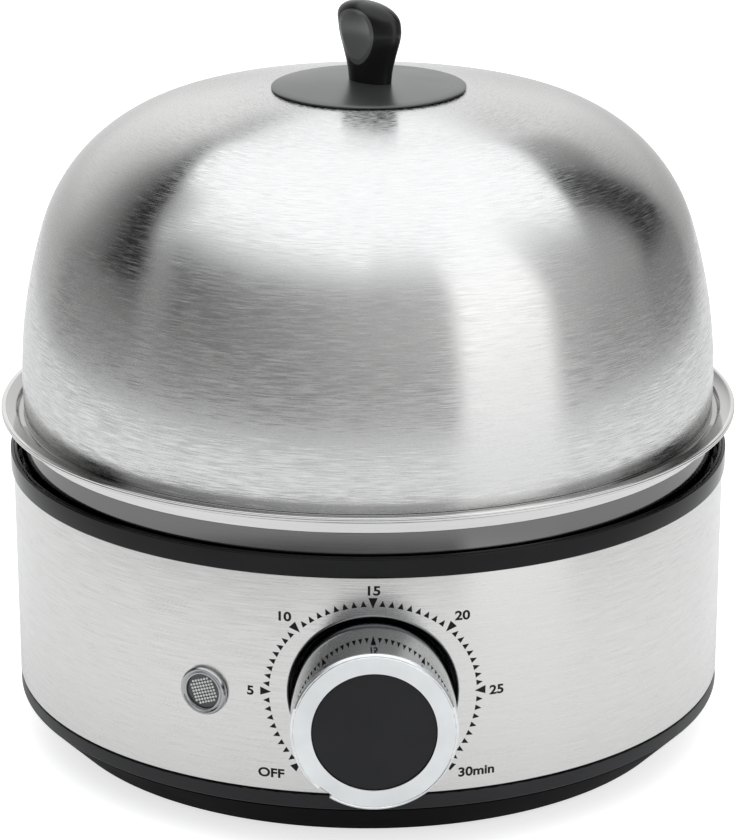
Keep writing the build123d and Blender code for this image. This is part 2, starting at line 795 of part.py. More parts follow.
# Timer bracket: front plate of the clockwork, with a foot screwed to the housing
foot_middle = bracket_back + bracket_foot / 2
with BuildPart() as timer_bracket:
    plate_top = dial_height + bracket_half_height
    with BuildSketch(dial_plane(bracket_front, z=(plate_top + bracket_bottom) / 2)):
        Rectangle(2 * bracket_half_width, plate_top - bracket_bottom)
    extrude(amount=-bracket_thickness)
    with BuildSketch(Plane.XY.offset(bracket_bottom)):
        with Locations((0, foot_middle)):
            Rectangle(2 * bracket_foot_half_width, bracket_foot)
    extrude(amount=bracket_thickness)
    with BuildSketch(dial_plane(bracket_front)):
        Circle(shaft_radius + running_gap)
        with GridLocations(timer_screw_spacing, 0, 2, 1):
            Circle(timer_screw_radius + screw_clearance)
    extrude(amount=-bracket_thickness, mode=Mode.SUBTRACT)
    with BuildSketch(dial_plane(bracket_front, pinion_x, pinion_z)):
        Circle(arbor_radius + running_gap)
    extrude(amount=-bracket_thickness, mode=Mode.SUBTRACT)
    with BuildSketch(Plane.XY.offset(bracket_bottom)):
        with Locations((0, foot_middle)):
            with GridLocations(bracket_boss_spacing, 0, 2, 1):
                Circle(small_screw_radius + screw_clearance)
    extrude(amount=bracket_thickness, mode=Mode.SUBTRACT)
save(timer_bracket, "timer_bracket")

with BuildPart() as bracket_screws:
    for radius, length in ((small_head_radius, small_head_height), (small_screw_radius, -small_screw_length)):
        with BuildSketch(Plane.XY.offset(bracket_bottom + bracket_thickness)):
            with Locations((0, foot_middle)):
                with GridLocations(bracket_boss_spacing, 0, 2, 1):
                    Circle(radius)
        extrude(amount=length)
save(bracket_screws, "bracket_screws")

with BuildPart() as timer_screws:
    for radius, length in ((small_head_radius, -small_head_height), (timer_screw_radius, timer_screw_length)):
        with BuildSketch(dial_plane(bracket_back)):
            with GridLocations(timer_screw_spacing, 0, 2, 1):
                Circle(radius)
        extrude(amount=length)
save(timer_screws, "timer_screws")

with BuildPart() as timer_pillars:
    pillar_x = 2 * (bracket_half_width - pillar_inset)
    pillar_z = 2 * (bracket_half_height - pillar_inset)
    with BuildSketch(dial_plane(bracket_back)):
        with GridLocations(pillar_x, pillar_z, 2, 2):
            Circle(pillar_radius)
    extrude(amount=-timer_depth)
save(timer_pillars, "timer_pillars")

with BuildPart() as timer_back_plate:
    with BuildSketch(dial_plane(plate_front)):
        Rectangle(2 * bracket_half_width, 2 * bracket_half_height)
        Circle(shaft_radius + running_gap, mode=Mode.SUBTRACT)
    extrude(amount=-bracket_thickness)
    with BuildSketch(dial_plane(plate_front, pinion_x, pinion_z)):
        Circle(arbor_radius + running_gap)
    extrude(amount=-bracket_thickness, mode=Mode.SUBTRACT)
save(timer_back_plate, "timer_back_plate")

# Knob: black core with a skirt, a bright ring over it and a black disc in the ring
core_front = knob_front + face_recess + face_thickness
web_back = core_front + core_web
dial_axis = Axis((0, 0, dial_height), (0, 1, 0))
with BuildPart() as knob_core:
    core_radius = knob_radius - ring_wall - knob_fit
    skirt_radius = knob_radius - skirt_inset
    with BuildSketch(side_plane(dial_height)):
        with BuildLine():
            Polyline(
                (0, core_front),
                (core_radius, core_front),
                (core_radius, skirt_front),
                (skirt_radius, skirt_front),
                (skirt_radius, skirt_back),
                (core_radius - core_wall, skirt_back),
                (core_radius - core_wall, web_back),
                (hub_radius, web_back),
                (hub_radius, skirt_back),
                (0, skirt_back),
                close=True,
            )
        make_face()
    revolve(axis=dial_axis)
    with BuildSketch(dial_plane(skirt_back)):
        Circle(shaft_radius + screw_clearance)
        with Locations((0, shaft_radius + screw_clearance)):
            Rectangle(3 * shaft_radius, 2 * shaft_flat, mode=Mode.SUBTRACT)
    extrude(amount=skirt_back - web_back, mode=Mode.SUBTRACT)
save(knob_core, "knob_core")

with BuildPart() as knob_ring:
    ring_hole = knob_radius - ring_face_width
    with BuildSketch(side_plane(dial_height)):
        with BuildLine():
            Polyline(
                (ring_hole, knob_front),
                (knob_radius - edge_bevel, knob_front),
                (knob_radius, knob_front + edge_bevel),
                (knob_radius, skirt_front),
                (knob_radius - ring_wall, skirt_front),
                (knob_radius - ring_wall, knob_front + ring_wall),
                (ring_hole, knob_front + ring_wall),
                close=True,
            )
        make_face()
    revolve(axis=dial_axis)
    with BuildSketch(dial_plane(knob_front)):
        with PolarLocations(knob_radius, 1, start_angle=pointer_angle):
            Rectangle(2 * pointer_depth, pointer_width)
    extrude(amount=-ring_wall, mode=Mode.SUBTRACT)
save(knob_ring, "knob_ring")

with BuildPart() as knob_face:
    with BuildSketch(dial_plane(knob_front + face_recess)):
        Circle(ring_hole - knob_fit)
    extrude(amount=-face_thickness)
    chamfer(knob_face.edges().group_by(Axis.Y)[0], length=face_recess)
save(knob_face, "knob_face")

# Clockwork that turns with the knob
with BuildPart() as timer_shaft:
    with BuildSketch(dial_plane(web_back)):
        Circle(shaft_radius)
    extrude(amount=web_back - plate_back)
    with BuildSketch(dial_plane(web_back)):
        with Locations((0, shaft_radius)):
            Rectangle(3 * shaft_radius, 2 * shaft_flat)
    extrude(amount=web_back - skirt_back, mode=Mode.SUBTRACT)
save(timer_shaft, "timer_shaft")

cam_front = bracket_back + cam_gap
barrel_front = cam_front + cam_thickness + barrel_gap
wheel_front = barrel_front + barrel_thickness
with BuildPart() as timer_cam:
    with BuildSketch(dial_plane(cam_front)):
        Circle(cam_radius)
        Circle(shaft_radius, mode=Mode.SUBTRACT)
        with Locations((-cam_radius, 0)):
            Circle(cam_notch, mode=Mode.SUBTRACT)
    extrude(amount=-cam_thickness)
save(timer_cam, "timer_cam")

with BuildPart() as spring_barrel:
    with BuildSketch(dial_plane(barrel_front)):
        Circle(barrel_radius)
        Circle(shaft_radius, mode=Mode.SUBTRACT)
    extrude(amount=-barrel_thickness)
    with BuildSketch(dial_plane(barrel_front)):
        Circle(barrel_radius - barrel_wall)
        Circle(shaft_radius + barrel_wall, mode=Mode.SUBTRACT)
    extrude(amount=barrel_wall - barrel_thickness, mode=Mode.SUBTRACT)
save(spring_barrel, "spring_barrel")

# Mainspring: a ribbon wound in half turns about two centres half a pitch apart
with BuildPart() as mainspring:
    spring_start = shaft_radius + 2 * barrel_wall
    outer_arcs = []
    inner_arcs = []
    for half in range(spring_half_turns):
        side = 1 if half % 2 == 0 else -1
        centre_x = 0 if side > 0 else spring_pitch / 2
        reach = spring_start + half * spring_pitch / 2
        for offset_out, arcs in ((spring_thickness / 2, outer_arcs), (-spring_thickness / 2, inner_arcs)):
            arc_radius = reach + offset_out
            arcs.append(
                (
                    (centre_x + side * arc_radius, 0),
                    (centre_x, side * arc_radius),
                    (centre_x - side * arc_radius, 0),
                )
            )
    with BuildSketch(dial_plane(barrel_front + barrel_wall)):
        with BuildLine():
            for arc in outer_arcs + inner_arcs:
                ThreePointArc(*arc)
            Line(inner_arcs[0][0], outer_arcs[0][0])
            Line(inner_arcs[-1][2], outer_arcs[-1][2])
        make_face()
    extrude(amount=3 * barrel_wall - barrel_thickness)
save(mainspring, "mainspring")
print("mainspring gap to itself", round(spring_pitch - spring_thickness, 3))

with BuildPart() as main_wheel:
    with BuildSketch(dial_plane(wheel_front)):
        with BuildLine():
            Polyline(*gear_points(wheel_teeth, gear_module, pinion_angle), close=True)
        make_face()
        Circle(shaft_radius, mode=Mode.SUBTRACT)
        with PolarLocations((wheel_pitch + shaft_radius) / 2, 5):
            Circle((wheel_pitch - shaft_radius) / 4, mode=Mode.SUBTRACT)
    extrude(amount=-wheel_thickness)
save(main_wheel, "main_wheel")

# Governor: a pinion on its own arbor, with a toothed wheel
with BuildPart() as governor_pinion:
    pinion_front = wheel_front - (pinion_thickness - wheel_thickness) / 2
    with BuildSketch(dial_plane(bracket_front, pinion_x, pinion_z)):
        Circle(arbor_radius)
    extrude(amount=bracket_front - plate_back)
    with BuildSketch(dial_plane(pinion_front, pinion_x, pinion_z)):
        with BuildLine():
            half_pitch = 180 / pinion_teeth
            Polyline(*gear_points(pinion_teeth, gear_module, pinion_angle + 180 + half_pitch), close=True)
        make_face()
    extrude(amount=-pinion_thickness)
save(governor_pinion, "governor_pinion")

with BuildPart() as governor_wheel:
    with BuildSketch(dial_plane(bracket_back + governor_gap, pinion_x, pinion_z)):
        with BuildLine():
            Polyline(*gear_points(governor_teeth, governor_module, 0), close=True)
        make_face()
        Circle(arbor_radius, mode=Mode.SUBTRACT)
    extrude(amount=-governor_thickness)
save(governor_wheel, "governor_wheel")

# Switch: two leaf contacts on a block beside the cam
contact_x = -cam_radius - contact_gap - contact_thickness / 2
block_top = dial_height - contact_block_drop
block_x = contact_x - contact_spacing / 2
with BuildPart() as switch_block:
    with BuildSketch(Plane.XY.offset(block_top - block_height)):
        with Locations((block_x, bracket_back + block_depth / 2)):
            Rectangle(block_width, block_depth)
    extrude(amount=block_height)
save(switch_block, "switch_block")

with BuildPart() as switch_contacts:
    with BuildSketch(Plane.XY.offset(block_top)):
        with Locations((block_x, cam_front + cam_thickness / 2)):
            with GridLocations(contact_spacing, 0, 2, 1):
                Rectangle(contact_thickness, contact_width)
    extrude(amount=contact_height)
save(switch_contacts, "switch_contacts")

# Bell on its post, and the striker beside it
bell_axis = Axis((bell_x, 0, bell_z), (0, 1, 0))
cap_start = bell_mouth + bell_height / 2


def bell_cap(radius, inwards):
    """Height of the bell's domed end over its mouth plane, at a radius."""
    rise = bell_crown - cap_start
    sphere = (bell_radius**2 + rise**2) / 2 / rise
    return bell_crown - sphere + sqrt((sphere - inwards) ** 2 - radius**2)


with BuildPart() as timer_bell:
    bell_inside = bell_radius - bell_wall
    hole = post_radius + screw_clearance
    with BuildSketch(side_plane(bell_z, bell_x)):
        with BuildLine():
            Line((bell_radius, bell_mouth), (bell_radius, bell_cap(bell_radius, 0)))
            ThreePointArc(*[(r, bell_cap(r, 0)) for r in (bell_radius, bell_radius * 0.6, hole)])
            Line((hole, bell_cap(hole, 0)), (hole, bell_cap(hole, bell_wall)))
            ThreePointArc(*[(r, bell_cap(r, bell_wall)) for r in (hole, bell_inside * 0.6, bell_inside)])
            Line((bell_inside, bell_cap(bell_inside, bell_wall)), (bell_inside, bell_mouth))
            Line((bell_inside, bell_mouth), (bell_radius, bell_mouth))
        make_face()
    revolve(axis=bell_axis)
save(timer_bell, "timer_bell")

with BuildPart() as bell_post:
    shoulder_end = bell_cap(post_shoulder_radius, bell_wall)
    head_start = bell_cap(hole, 0)
    with BuildSketch(side_plane(bell_z, bell_x)):
        with BuildLine():
            Polyline(
                (0, plate_back),
                (post_shoulder_radius, plate_back),
                (post_shoulder_radius, shoulder_end),
                (post_radius, shoulder_end),
                (post_radius, head_start),
                (post_head_radius, head_start),
                (post_head_radius, head_start + post_head_height),
                (0, head_start + post_head_height),
                close=True,
            )
        make_face()
    revolve(axis=bell_axis)
save(bell_post, "bell_post")

striker_front = plate_back + striker_gap
with BuildPart() as striker_pin:
    with BuildSketch(dial_plane(plate_back, striker_x, striker_z)):
        Circle(striker_pin_radius)
    extrude(amount=-2 * striker_gap - striker_thickness)
    with BuildSketch(dial_plane(striker_front + striker_thickness + striker_gap, striker_x, striker_z)):
        Circle(striker_hub_radius)
    extrude(amount=-small_head_height / 2)
save(striker_pin, "striker_pin")

with BuildPart() as bell_striker:
    arm = Vector(hammer_x - striker_x, hammer_z - striker_z)
    arm_angle = degrees(atan2(arm.Y, arm.X))
    with BuildSketch(dial_plane(striker_front, striker_x, striker_z)):
        Circle(striker_hub_radius)
        with Locations(arm / 2):
            SlotCenterToCenter(arm.length, striker_arm_width, rotation=arm_angle)
        Circle(striker_pin_radius + running_gap, mode=Mode.SUBTRACT)
    extrude(amount=-striker_thickness)
    with BuildSketch(dial_plane(striker_front, hammer_x, hammer_z)):
        Circle(hammer_radius)
    extrude(amount=-striker_thickness - hammer_length)
save(bell_striker, "bell_striker")

# Indicator lamp, seated on the band and held by a push-on clip inside it
lamp_section = outward_section(lamp_angle, lamp_height)
lamp_axis = outward_axis(lamp_angle, lamp_height)
lamp_seat = body_radius + screw_clearance
bezel_front = lamp_seat + bezel_lip
bezel_round = bezel_lip * 0.6
lens_front = bezel_front - lens_sink
lens_back = lens_front - lens_thickness
lens_radius = barrel_outer - bezel_wall / 2
lamp_bore = lens_radius - bezel_wall / 2
barrel_back = body_radius - lamp_barrel_length
with BuildPart() as indicator_bezel:
    round_middle = bezel_round * (1 - sin(radians(45)))
    with BuildSketch(lamp_section):
        with BuildLine():
            Polyline(
                (barrel_back, lamp_bore),
                (barrel_back, barrel_outer),
                (lamp_seat, barrel_outer),
                (lamp_seat, bezel_radius),
                (bezel_front - bezel_round, bezel_radius),
            )
            ThreePointArc(
                (bezel_front - bezel_round, bezel_radius),
                (bezel_front - round_middle, bezel_radius - round_middle),
                (bezel_front, bezel_radius - bezel_round),
            )
            Polyline(
                (bezel_front, bezel_radius - bezel_round),
                (lens_front, lens_radius),
                (lens_back, lens_radius),
                (lens_back, lamp_bore),
                (barrel_back, lamp_bore),
            )
        make_face()
    revolve(axis=lamp_axis)
save(indicator_bezel, "indicator_bezel")

with BuildPart() as indicator_lens:
    lens_edge = lens_radius - screw_clearance
    lens_rise = lens_sink / 2
    lens_base = lens_front - lens_rise
    with BuildSketch(lamp_section):
        with BuildLine():
            Polyline(
                (lens_front, 0),
                (lens_back, 0),
                (lens_back, lens_edge),
                (lens_base, lens_edge),
            )
            lens_stops = (lens_edge, lens_edge / 2, 0)
            ThreePointArc(*[(lens_base + cap_rise(lens_edge, lens_rise, r), r) for r in lens_stops])
        make_face()
    revolve(axis=lamp_axis)
save(indicator_lens, "indicator_lens")

with BuildPart() as neon_lamp:
    tube_front = lens_back - neon_gap
    tube_base = tube_front - neon_radius
    with BuildSketch(lamp_section):
        with BuildLine():
            Polyline(
                (tube_front, 0),
                (barrel_back, 0),
                (barrel_back, lamp_bore - screw_clearance),
                (barrel_back + neon_base, lamp_bore - screw_clearance),
                (barrel_back + neon_base, neon_radius),
                (tube_base, neon_radius),
            )
            CenterArc((tube_base, 0), neon_radius, 0, 90)
        make_face()
    revolve(axis=lamp_axis)
save(neon_lamp, "neon_lamp")

with BuildPart() as lamp_clip:
    clip_radius = barrel_outer + clip_ring_width
    clip_front = sqrt(band_inside**2 - clip_radius**2) - screw_clearance
    with BuildSketch(around(lamp_angle, lamp_height, clip_front)):
        Circle(clip_radius)
        Circle(barrel_outer + screw_clearance, mode=Mode.SUBTRACT)
    extrude(amount=-clip_ring_thickness)
save(lamp_clip, "lamp_clip")

# Cord inlet at the back: a bushing through the band, with a nut inside
with BuildPart() as cord_gland:
    gland_seat = body_radius + screw_clearance
    flange_edge = gland_radius + gland_flange
    gland_front = gland_seat + gland_flange_thickness
    with BuildSketch(outward_section(90, gland_height)):
        with BuildLine():
            Polyline(
                (body_radius - gland_length, gland_bore),
                (body_radius - gland_length, gland_radius),
                (gland_seat, gland_radius),
                (gland_seat, flange_edge),
                (gland_seat + gland_flange_thickness / 3, flange_edge),
                (gland_front, gland_radius),
                (gland_front, gland_bore + gland_flange_thickness / 4),
                (gland_front - gland_flange_thickness / 4, gland_bore),
                close=True,
            )
        make_face()
    revolve(axis=outward_axis(90, gland_height))
save(cord_gland, "cord_gland")

with BuildPart() as gland_nut:
    nut_radius = gland_radius + nut_width
    nut_front = sqrt(band_inside**2 - nut_radius**2) - screw_clearance
    with BuildSketch(around(90, gland_height, nut_front)):
        RegularPolygon(nut_radius, 6)
        Circle(gland_radius + screw_clearance, mode=Mode.SUBTRACT)
    extrude(amount=-nut_thickness)
save(gland_nut, "gland_nut")

with BuildPart() as terminal_block:
    with BuildSketch(Plane.XY.offset(floor_top)):
        with Locations((0, block_place)):
            Rectangle(block_size[0], block_size[1])
    extrude(amount=block_size[2])
    chamfer(terminal_block.edges().filter_by(Axis.Z), length=block_size[1] / 10)
save(terminal_block, "terminal_block")


def lead(route):
    """Insulated lead along a route of straight runs and round bends, both ends square to what they meet."""
    with BuildPart() as tube:
        with BuildLine() as path:
            FilletPolyline(*route, radius=lead_bend)
        with BuildSketch(Plane(origin=path.line @ 0, z_dir=path.line % 0)):
            Circle(lead_radius)
        sweep()
    length = sum(run.length for run in path.edges())
    ratio = tube.part.volume / (pi * lead_radius**2 * length)
    print("lead length", round(length, 1), "volume ratio", round(ratio, 4))
    return tube


# Leads between the inlet's block, the thermostat, the element and the switch
block_wire_z = floor_top + block_size[2]
block_wire_x = block_size[0] / 3
tab_x = tab_spacing / 2
heater_level = tab_bottom - heater_lead_drop
switch_y = cam_front + cam_thickness / 2
switch_z = block_top - block_height
switch_pitch = block_width / 2
far_pin, near_pin = element_pins
supply_lead = lead([
    (-block_wire_x, block_place, block_wire_z),
    (-block_wire_x, block_place, lead_level),
    (-tab_x, 0, lead_level),
    (-tab_x, 0, tab_bottom),
])
save(supply_lead, "supply_lead")

heater_lead = lead([
    (tab_x, 0, tab_bottom),
    (tab_x, 0, heater_level),
    (near_pin[0], near_pin[1], heater_level),
    (near_pin[0], near_pin[1], pin_bottom),
])
save(heater_lead, "heater_lead")

switch_lead = lead([
    (far_pin[0], far_pin[1], pin_bottom),
    (far_pin[0], far_pin[1], lead_level),
    (block_x - switch_pitch / 2, switch_y, lead_level),
    (block_x - switch_pitch / 2, switch_y, switch_z),
])
save(switch_lead, "switch_lead")

return_lead = lead([
    (block_x + switch_pitch / 2, switch_y, switch_z),
    (block_x + switch_pitch / 2, switch_y, lead_level),
    (block_wire_x, block_place, lead_level),
    (block_wire_x, block_place, block_wire_z),
])
save(return_lead, "return_lead")

for side, name in ((-1, "lamp_lead_left"), (1, "lamp_lead_right")):
    across = side * lamp_lead_spacing / 2
    start = around(lamp_angle, lamp_height, barrel_back).from_local_coords((across, 0, 0))
    end = around(lamp_angle, lamp_height, barrel_back - lamp_lead_run).from_local_coords((across, 0, 0))
    lamp_lead = lead([
        start,
        end,
        (end.X, end.Y, lamp_lead_level),
        (across, block_place, lamp_lead_level),
        (across, block_place, block_wire_z),
    ])
    save(lamp_lead, name)

# Egg rack: a plate with a hole for each egg, and two wire handles
with BuildPart() as egg_rack:
    with BuildSketch(Plane.XY.offset(rack_bottom)):
        Circle(rack_radius)
        Circle(egg_hole_radius, mode=Mode.SUBTRACT)
        with PolarLocations(egg_circle, egg_count, start_angle=180 / egg_count):
            Circle(egg_hole_radius, mode=Mode.SUBTRACT)
    extrude(amount=rack_thickness)
save(egg_rack, "egg_rack")

for side, name in ((-1, "rack_handle_left"), (1, "rack_handle_right")):
    with BuildPart() as rack_handle:
        loop_x = side * handle_circle
        with BuildLine() as loop:
            FilletPolyline(
                (loop_x, -loop_width / 2, rack_top),
                (loop_x, -loop_width / 2, rack_top + loop_height),
                (loop_x, loop_width / 2, rack_top + loop_height),
                (loop_x, loop_width / 2, rack_top),
                radius=loop_bend,
            )
        with BuildSketch(Plane(origin=loop.line @ 0, z_dir=loop.line % 0)):
            Circle(handle_wire)
        sweep()
    save(rack_handle, name)

# Lid: a domed shell with a set-in skirt that drops into the pan's neck
with BuildPart() as lid_dome:
    arc_ends = (0, flank_turn, turn_sum, 90)
    wall_base = seat_height + wall_foot_gap
    foot_edge = dome_radius - wall_foot_inset
    skirt_inside = skirt_outside - dome_wall
    skirt_bottom = seat_height - skirt_depth
    with BuildSketch(Plane.XZ):
        with BuildLine():
            Polyline(
                (dome_radius - dome_wall, shoulder_base),
                (dome_radius - dome_wall, wall_base + dome_wall),
                (skirt_inside, wall_base),
                (skirt_inside, skirt_bottom),
                (skirt_outside, skirt_bottom),
                (skirt_outside, seat_height),
                (foot_edge, seat_height),
                (foot_edge, wall_base),
                (dome_radius, wall_base),
                (dome_radius, shoulder_base),
            )
            for inwards in (0, dome_wall):
                for first, last in zip(arc_ends, arc_ends[1:]):
                    ThreePointArc(*[dome_outline(inwards, a) for a in (first, (first + last) / 2, last)])
            Line((0, dome_top), (0, dome_top - dome_wall))
        make_face()
    revolve(axis=Axis.Z)
    with BuildSketch(Plane.XY.offset(dome_top - 2 * dome_wall)):
        Circle(handle_screw_radius + screw_clearance)
    extrude(amount=4 * dome_wall, mode=Mode.SUBTRACT)
    vent_point = dome_outline(dome_wall, vent_turn)
    vent_direction = (0, cos(radians(vent_turn)), sin(radians(vent_turn)))
    with BuildSketch(Plane(origin=(0, vent_point.X, vent_point.Y), z_dir=vent_direction)):
        Circle(vent_radius)
    extrude(amount=3 * dome_wall, both=True, mode=Mode.SUBTRACT)
save(lid_dome, "lid_dome")

with BuildPart() as lid_disc:
    disc_hole = handle_screw_radius + screw_clearance
    disc_stops = (disc_hole, disc_radius / 2, disc_radius)
    disc_over = disc_gap + disc_thickness
    with BuildSketch(Plane.XZ):
        with BuildLine():
            for outwards in (disc_gap, disc_over):
                ThreePointArc(*[(r, crown_height(r, outwards)) for r in disc_stops])
            for r in (disc_hole, disc_radius):
                Line((r, crown_height(r, disc_gap)), (r, crown_height(r, disc_over)))
        make_face()
    revolve(axis=Axis.Z)
    rims = lid_disc.edges().filter_by(Plane.XY).sort_by(SortBy.RADIUS)[-2:]
    fillet(rims.sort_by(Axis.Z)[-1], radius=disc_thickness / 3)
save(lid_disc, "lid_disc")

# Handle: a flattened grip with its broad face turned to the front left, dished for the thumb
face_direction = (-sin(radians(grip_turn)), -cos(radians(grip_turn)))
grip_stages = (
    (0.0, 0.0, 1.0),
    (0.22, 0.1, 1.0),
    (0.5, 0.72, 1.0),
    (0.72, 1.0, 1.0),
    (0.9, 1.0, 0.84),
    (1.0, 1.0, 0.42),
)
with BuildPart() as grip_blank:
    for height_share, swell, crown in grip_stages:
        half_width = (grip_neck_width + (grip_width - grip_neck_width) * swell) / 2 * crown
        half_depth = (grip_neck_thickness + (grip_thickness - grip_neck_thickness) * swell) / 2 * crown
        with BuildSketch(Plane.XY.offset(disc_top + grip_height * height_share)):
            Ellipse(half_width, half_depth, rotation=-grip_turn)
    loft()

thumb_distance = grip_thickness / 2 - thumb_depth + thumb_radius
thumb_centre = (
    thumb_distance * face_direction[0],
    thumb_distance * face_direction[1],
    disc_top + thumb_height,
)
with BuildPart() as lid_handle:
    add(grip_blank.part)
    with Locations(thumb_centre):
        Sphere(thumb_radius + pad_thickness, mode=Mode.SUBTRACT)
    with BuildSketch(Plane.XY.offset(disc_top)):
        Circle(handle_screw_radius + screw_clearance)
    extrude(amount=handle_screw_reach + handle_screw_radius / 4, mode=Mode.SUBTRACT)
save(lid_handle, "lid_handle")

with BuildPart() as thumb_pad:
    add(grip_blank.part)
    with Locations(thumb_centre):
        Sphere(thumb_radius + pad_thickness, mode=Mode.INTERSECT)
        Sphere(thumb_radius, mode=Mode.SUBTRACT)
save(thumb_pad, "thumb_pad")

with BuildPart() as handle_washer:
    washer_top = crown_height(washer_radius, -dome_wall) - disc_gap
    with BuildSketch(Plane.XY.offset(washer_top - washer_thickness)):
        Circle(washer_radius)
        Circle(handle_screw_radius + screw_clearance, mode=Mode.SUBTRACT)
    extrude(amount=washer_thickness)
save(handle_washer, "handle_washer")

with BuildPart() as handle_screw:
    with BuildSketch(Plane.XY.offset(washer_top - washer_thickness)):
        Circle(handle_screw_radius)
    extrude(amount=disc_top + handle_screw_reach - washer_top + washer_thickness)
    with BuildSketch(Plane.XY.offset(washer_top - washer_thickness - handle_head_height)):
        Circle(handle_head_radius)
        RegularPolygon(handle_screw_radius, 6, mode=Mode.SUBTRACT)
    extrude(amount=handle_head_height)
save(handle_screw, "handle_screw")
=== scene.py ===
import math
import bmesh
import bpy
from mathutils import Matrix, Vector


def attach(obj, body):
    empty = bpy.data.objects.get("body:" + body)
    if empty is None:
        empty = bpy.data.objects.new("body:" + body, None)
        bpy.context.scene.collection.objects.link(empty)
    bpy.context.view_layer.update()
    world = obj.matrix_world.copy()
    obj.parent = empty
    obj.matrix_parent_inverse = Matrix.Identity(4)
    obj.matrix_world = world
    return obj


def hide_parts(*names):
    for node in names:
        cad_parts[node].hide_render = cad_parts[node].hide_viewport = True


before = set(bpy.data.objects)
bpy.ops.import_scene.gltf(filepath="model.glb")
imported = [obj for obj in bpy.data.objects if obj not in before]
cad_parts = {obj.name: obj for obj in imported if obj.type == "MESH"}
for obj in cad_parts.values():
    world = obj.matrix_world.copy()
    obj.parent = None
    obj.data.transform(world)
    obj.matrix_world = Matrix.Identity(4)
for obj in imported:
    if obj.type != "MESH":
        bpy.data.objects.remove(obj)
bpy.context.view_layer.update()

mm = 0.001
print("frame loaded:", len(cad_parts), "nodes")


# Camera, at the photograph's angle

cameraSetup = {
    "elevation": 18.44,      # degrees over the floor
    "azimuth": -0.7,         # degrees from the dial, with the left below zero
    "distance": 869.0,       # mm from the middle of the rim
    "lens": 143.0,           # on a 36 mm long side
    "rimHeight": 88.0,
    "aimDrop": 7.05,         # mm under the rim's middle
    "aimSide": 0.14,         # mm to its right
    "roll": -0.10,
}


def placeCamera(setup):
    turn = math.radians(setup["azimuth"])
    rise = math.radians(setup["elevation"])
    back = Vector((math.sin(turn) * math.cos(rise), -math.cos(turn) * math.cos(rise), math.sin(rise)))
    up = Vector((-math.sin(turn) * math.sin(rise), math.cos(turn) * math.sin(rise), math.cos(rise)))
    rim = Vector((0, 0, setup["rimHeight"])) * mm
    side = up.cross(back)
    turned = Matrix((side, up, back)).transposed() @ Matrix.Rotation(math.radians(setup["roll"]), 3, "Z")
    lensData = bpy.data.cameras.new("photoCamera")
    lensData.lens = setup["lens"]
    lensData.sensor_width = 36
    lensData.clip_start = 0.01
    camera = bpy.data.objects.new("photoCamera", lensData)
    camera.matrix_world = turned.to_4x4()
    camera.location = rim + (back * setup["distance"] - up * setup["aimDrop"] + side * setup["aimSide"]) * mm
    bpy.context.scene.collection.objects.link(camera)
    bpy.context.scene.camera = camera


placeCamera(cameraSetup)
bpy.context.scene.view_settings.view_transform = "Standard"
print("camera placed")


# Small helpers for shader trees

def addNode(tree, kind, inputs=None, **settings):
    made = tree.nodes.new(kind)
    for key, value in settings.items():
        setattr(made, key, value)
    for key, value in (inputs or {}).items():
        if isinstance(value, bpy.types.NodeSocket):
            tree.links.new(value, made.inputs[key])
        else:
            made.inputs[key].default_value = value
    return made


def calc(tree, operation, first, second=0.0, third=0.0):
    return addNode(tree, "ShaderNodeMath", {0: first, 1: second, 2: third}, operation=operation).outputs[0]


def remap(tree, value, fromLow, fromHigh, toLow, toHigh, smooth=False):
    shape = "SMOOTHSTEP" if smooth else "LINEAR"
    sizes = {"Value": value, "From Min": fromLow, "From Max": fromHigh, "To Min": toLow, "To Max": toHigh}
    return addNode(tree, "ShaderNodeMapRange", sizes, interpolation_type=shape).outputs[0]


def fade(tree, angle, start, end, first, last, smooth=False):
    # The same between two angles in degrees
    return remap(tree, angle, math.radians(start), math.radians(end), first, last, smooth)


def darken(tree, level, *shares):
    # Dims the level by the product of the shares
    share = shares[0]
    for other in shares[1:]:
        share = calc(tree, "MULTIPLY", share, other)
    return calc(tree, "MULTIPLY", level, calc(tree, "SUBTRACT", 1.0, share))


def distanceFromAxis(tree, parts):
    # The level part of a position, and its length
    flat = addNode(tree, "ShaderNodeCombineXYZ", {0: parts[0], 1: parts[1]}).outputs[0]
    return flat, addNode(tree, "ShaderNodeVectorMath", {0: flat}, operation="LENGTH").outputs["Value"]


def blendColour(tree, share, first, second):
    made = addNode(tree, "ShaderNodeMix", data_type="RGBA")
    sockets = (made.inputs["Factor"], made.inputs[6], made.inputs[7])   # the last two are its colours
    for socket, value in zip(sockets, (share, first, second)):
        if isinstance(value, bpy.types.NodeSocket):
            tree.links.new(value, socket)
        elif socket.type == "RGBA":
            socket.default_value = (*value, 1)
        else:
            socket.default_value = value
    return made.outputs[2]


# Studio: a white floor, and a room with a bright ceiling, a grey front wall, a bright strip and dark gaps.
# Angles are in degrees: from the front, with the left below zero, or over the horizon.

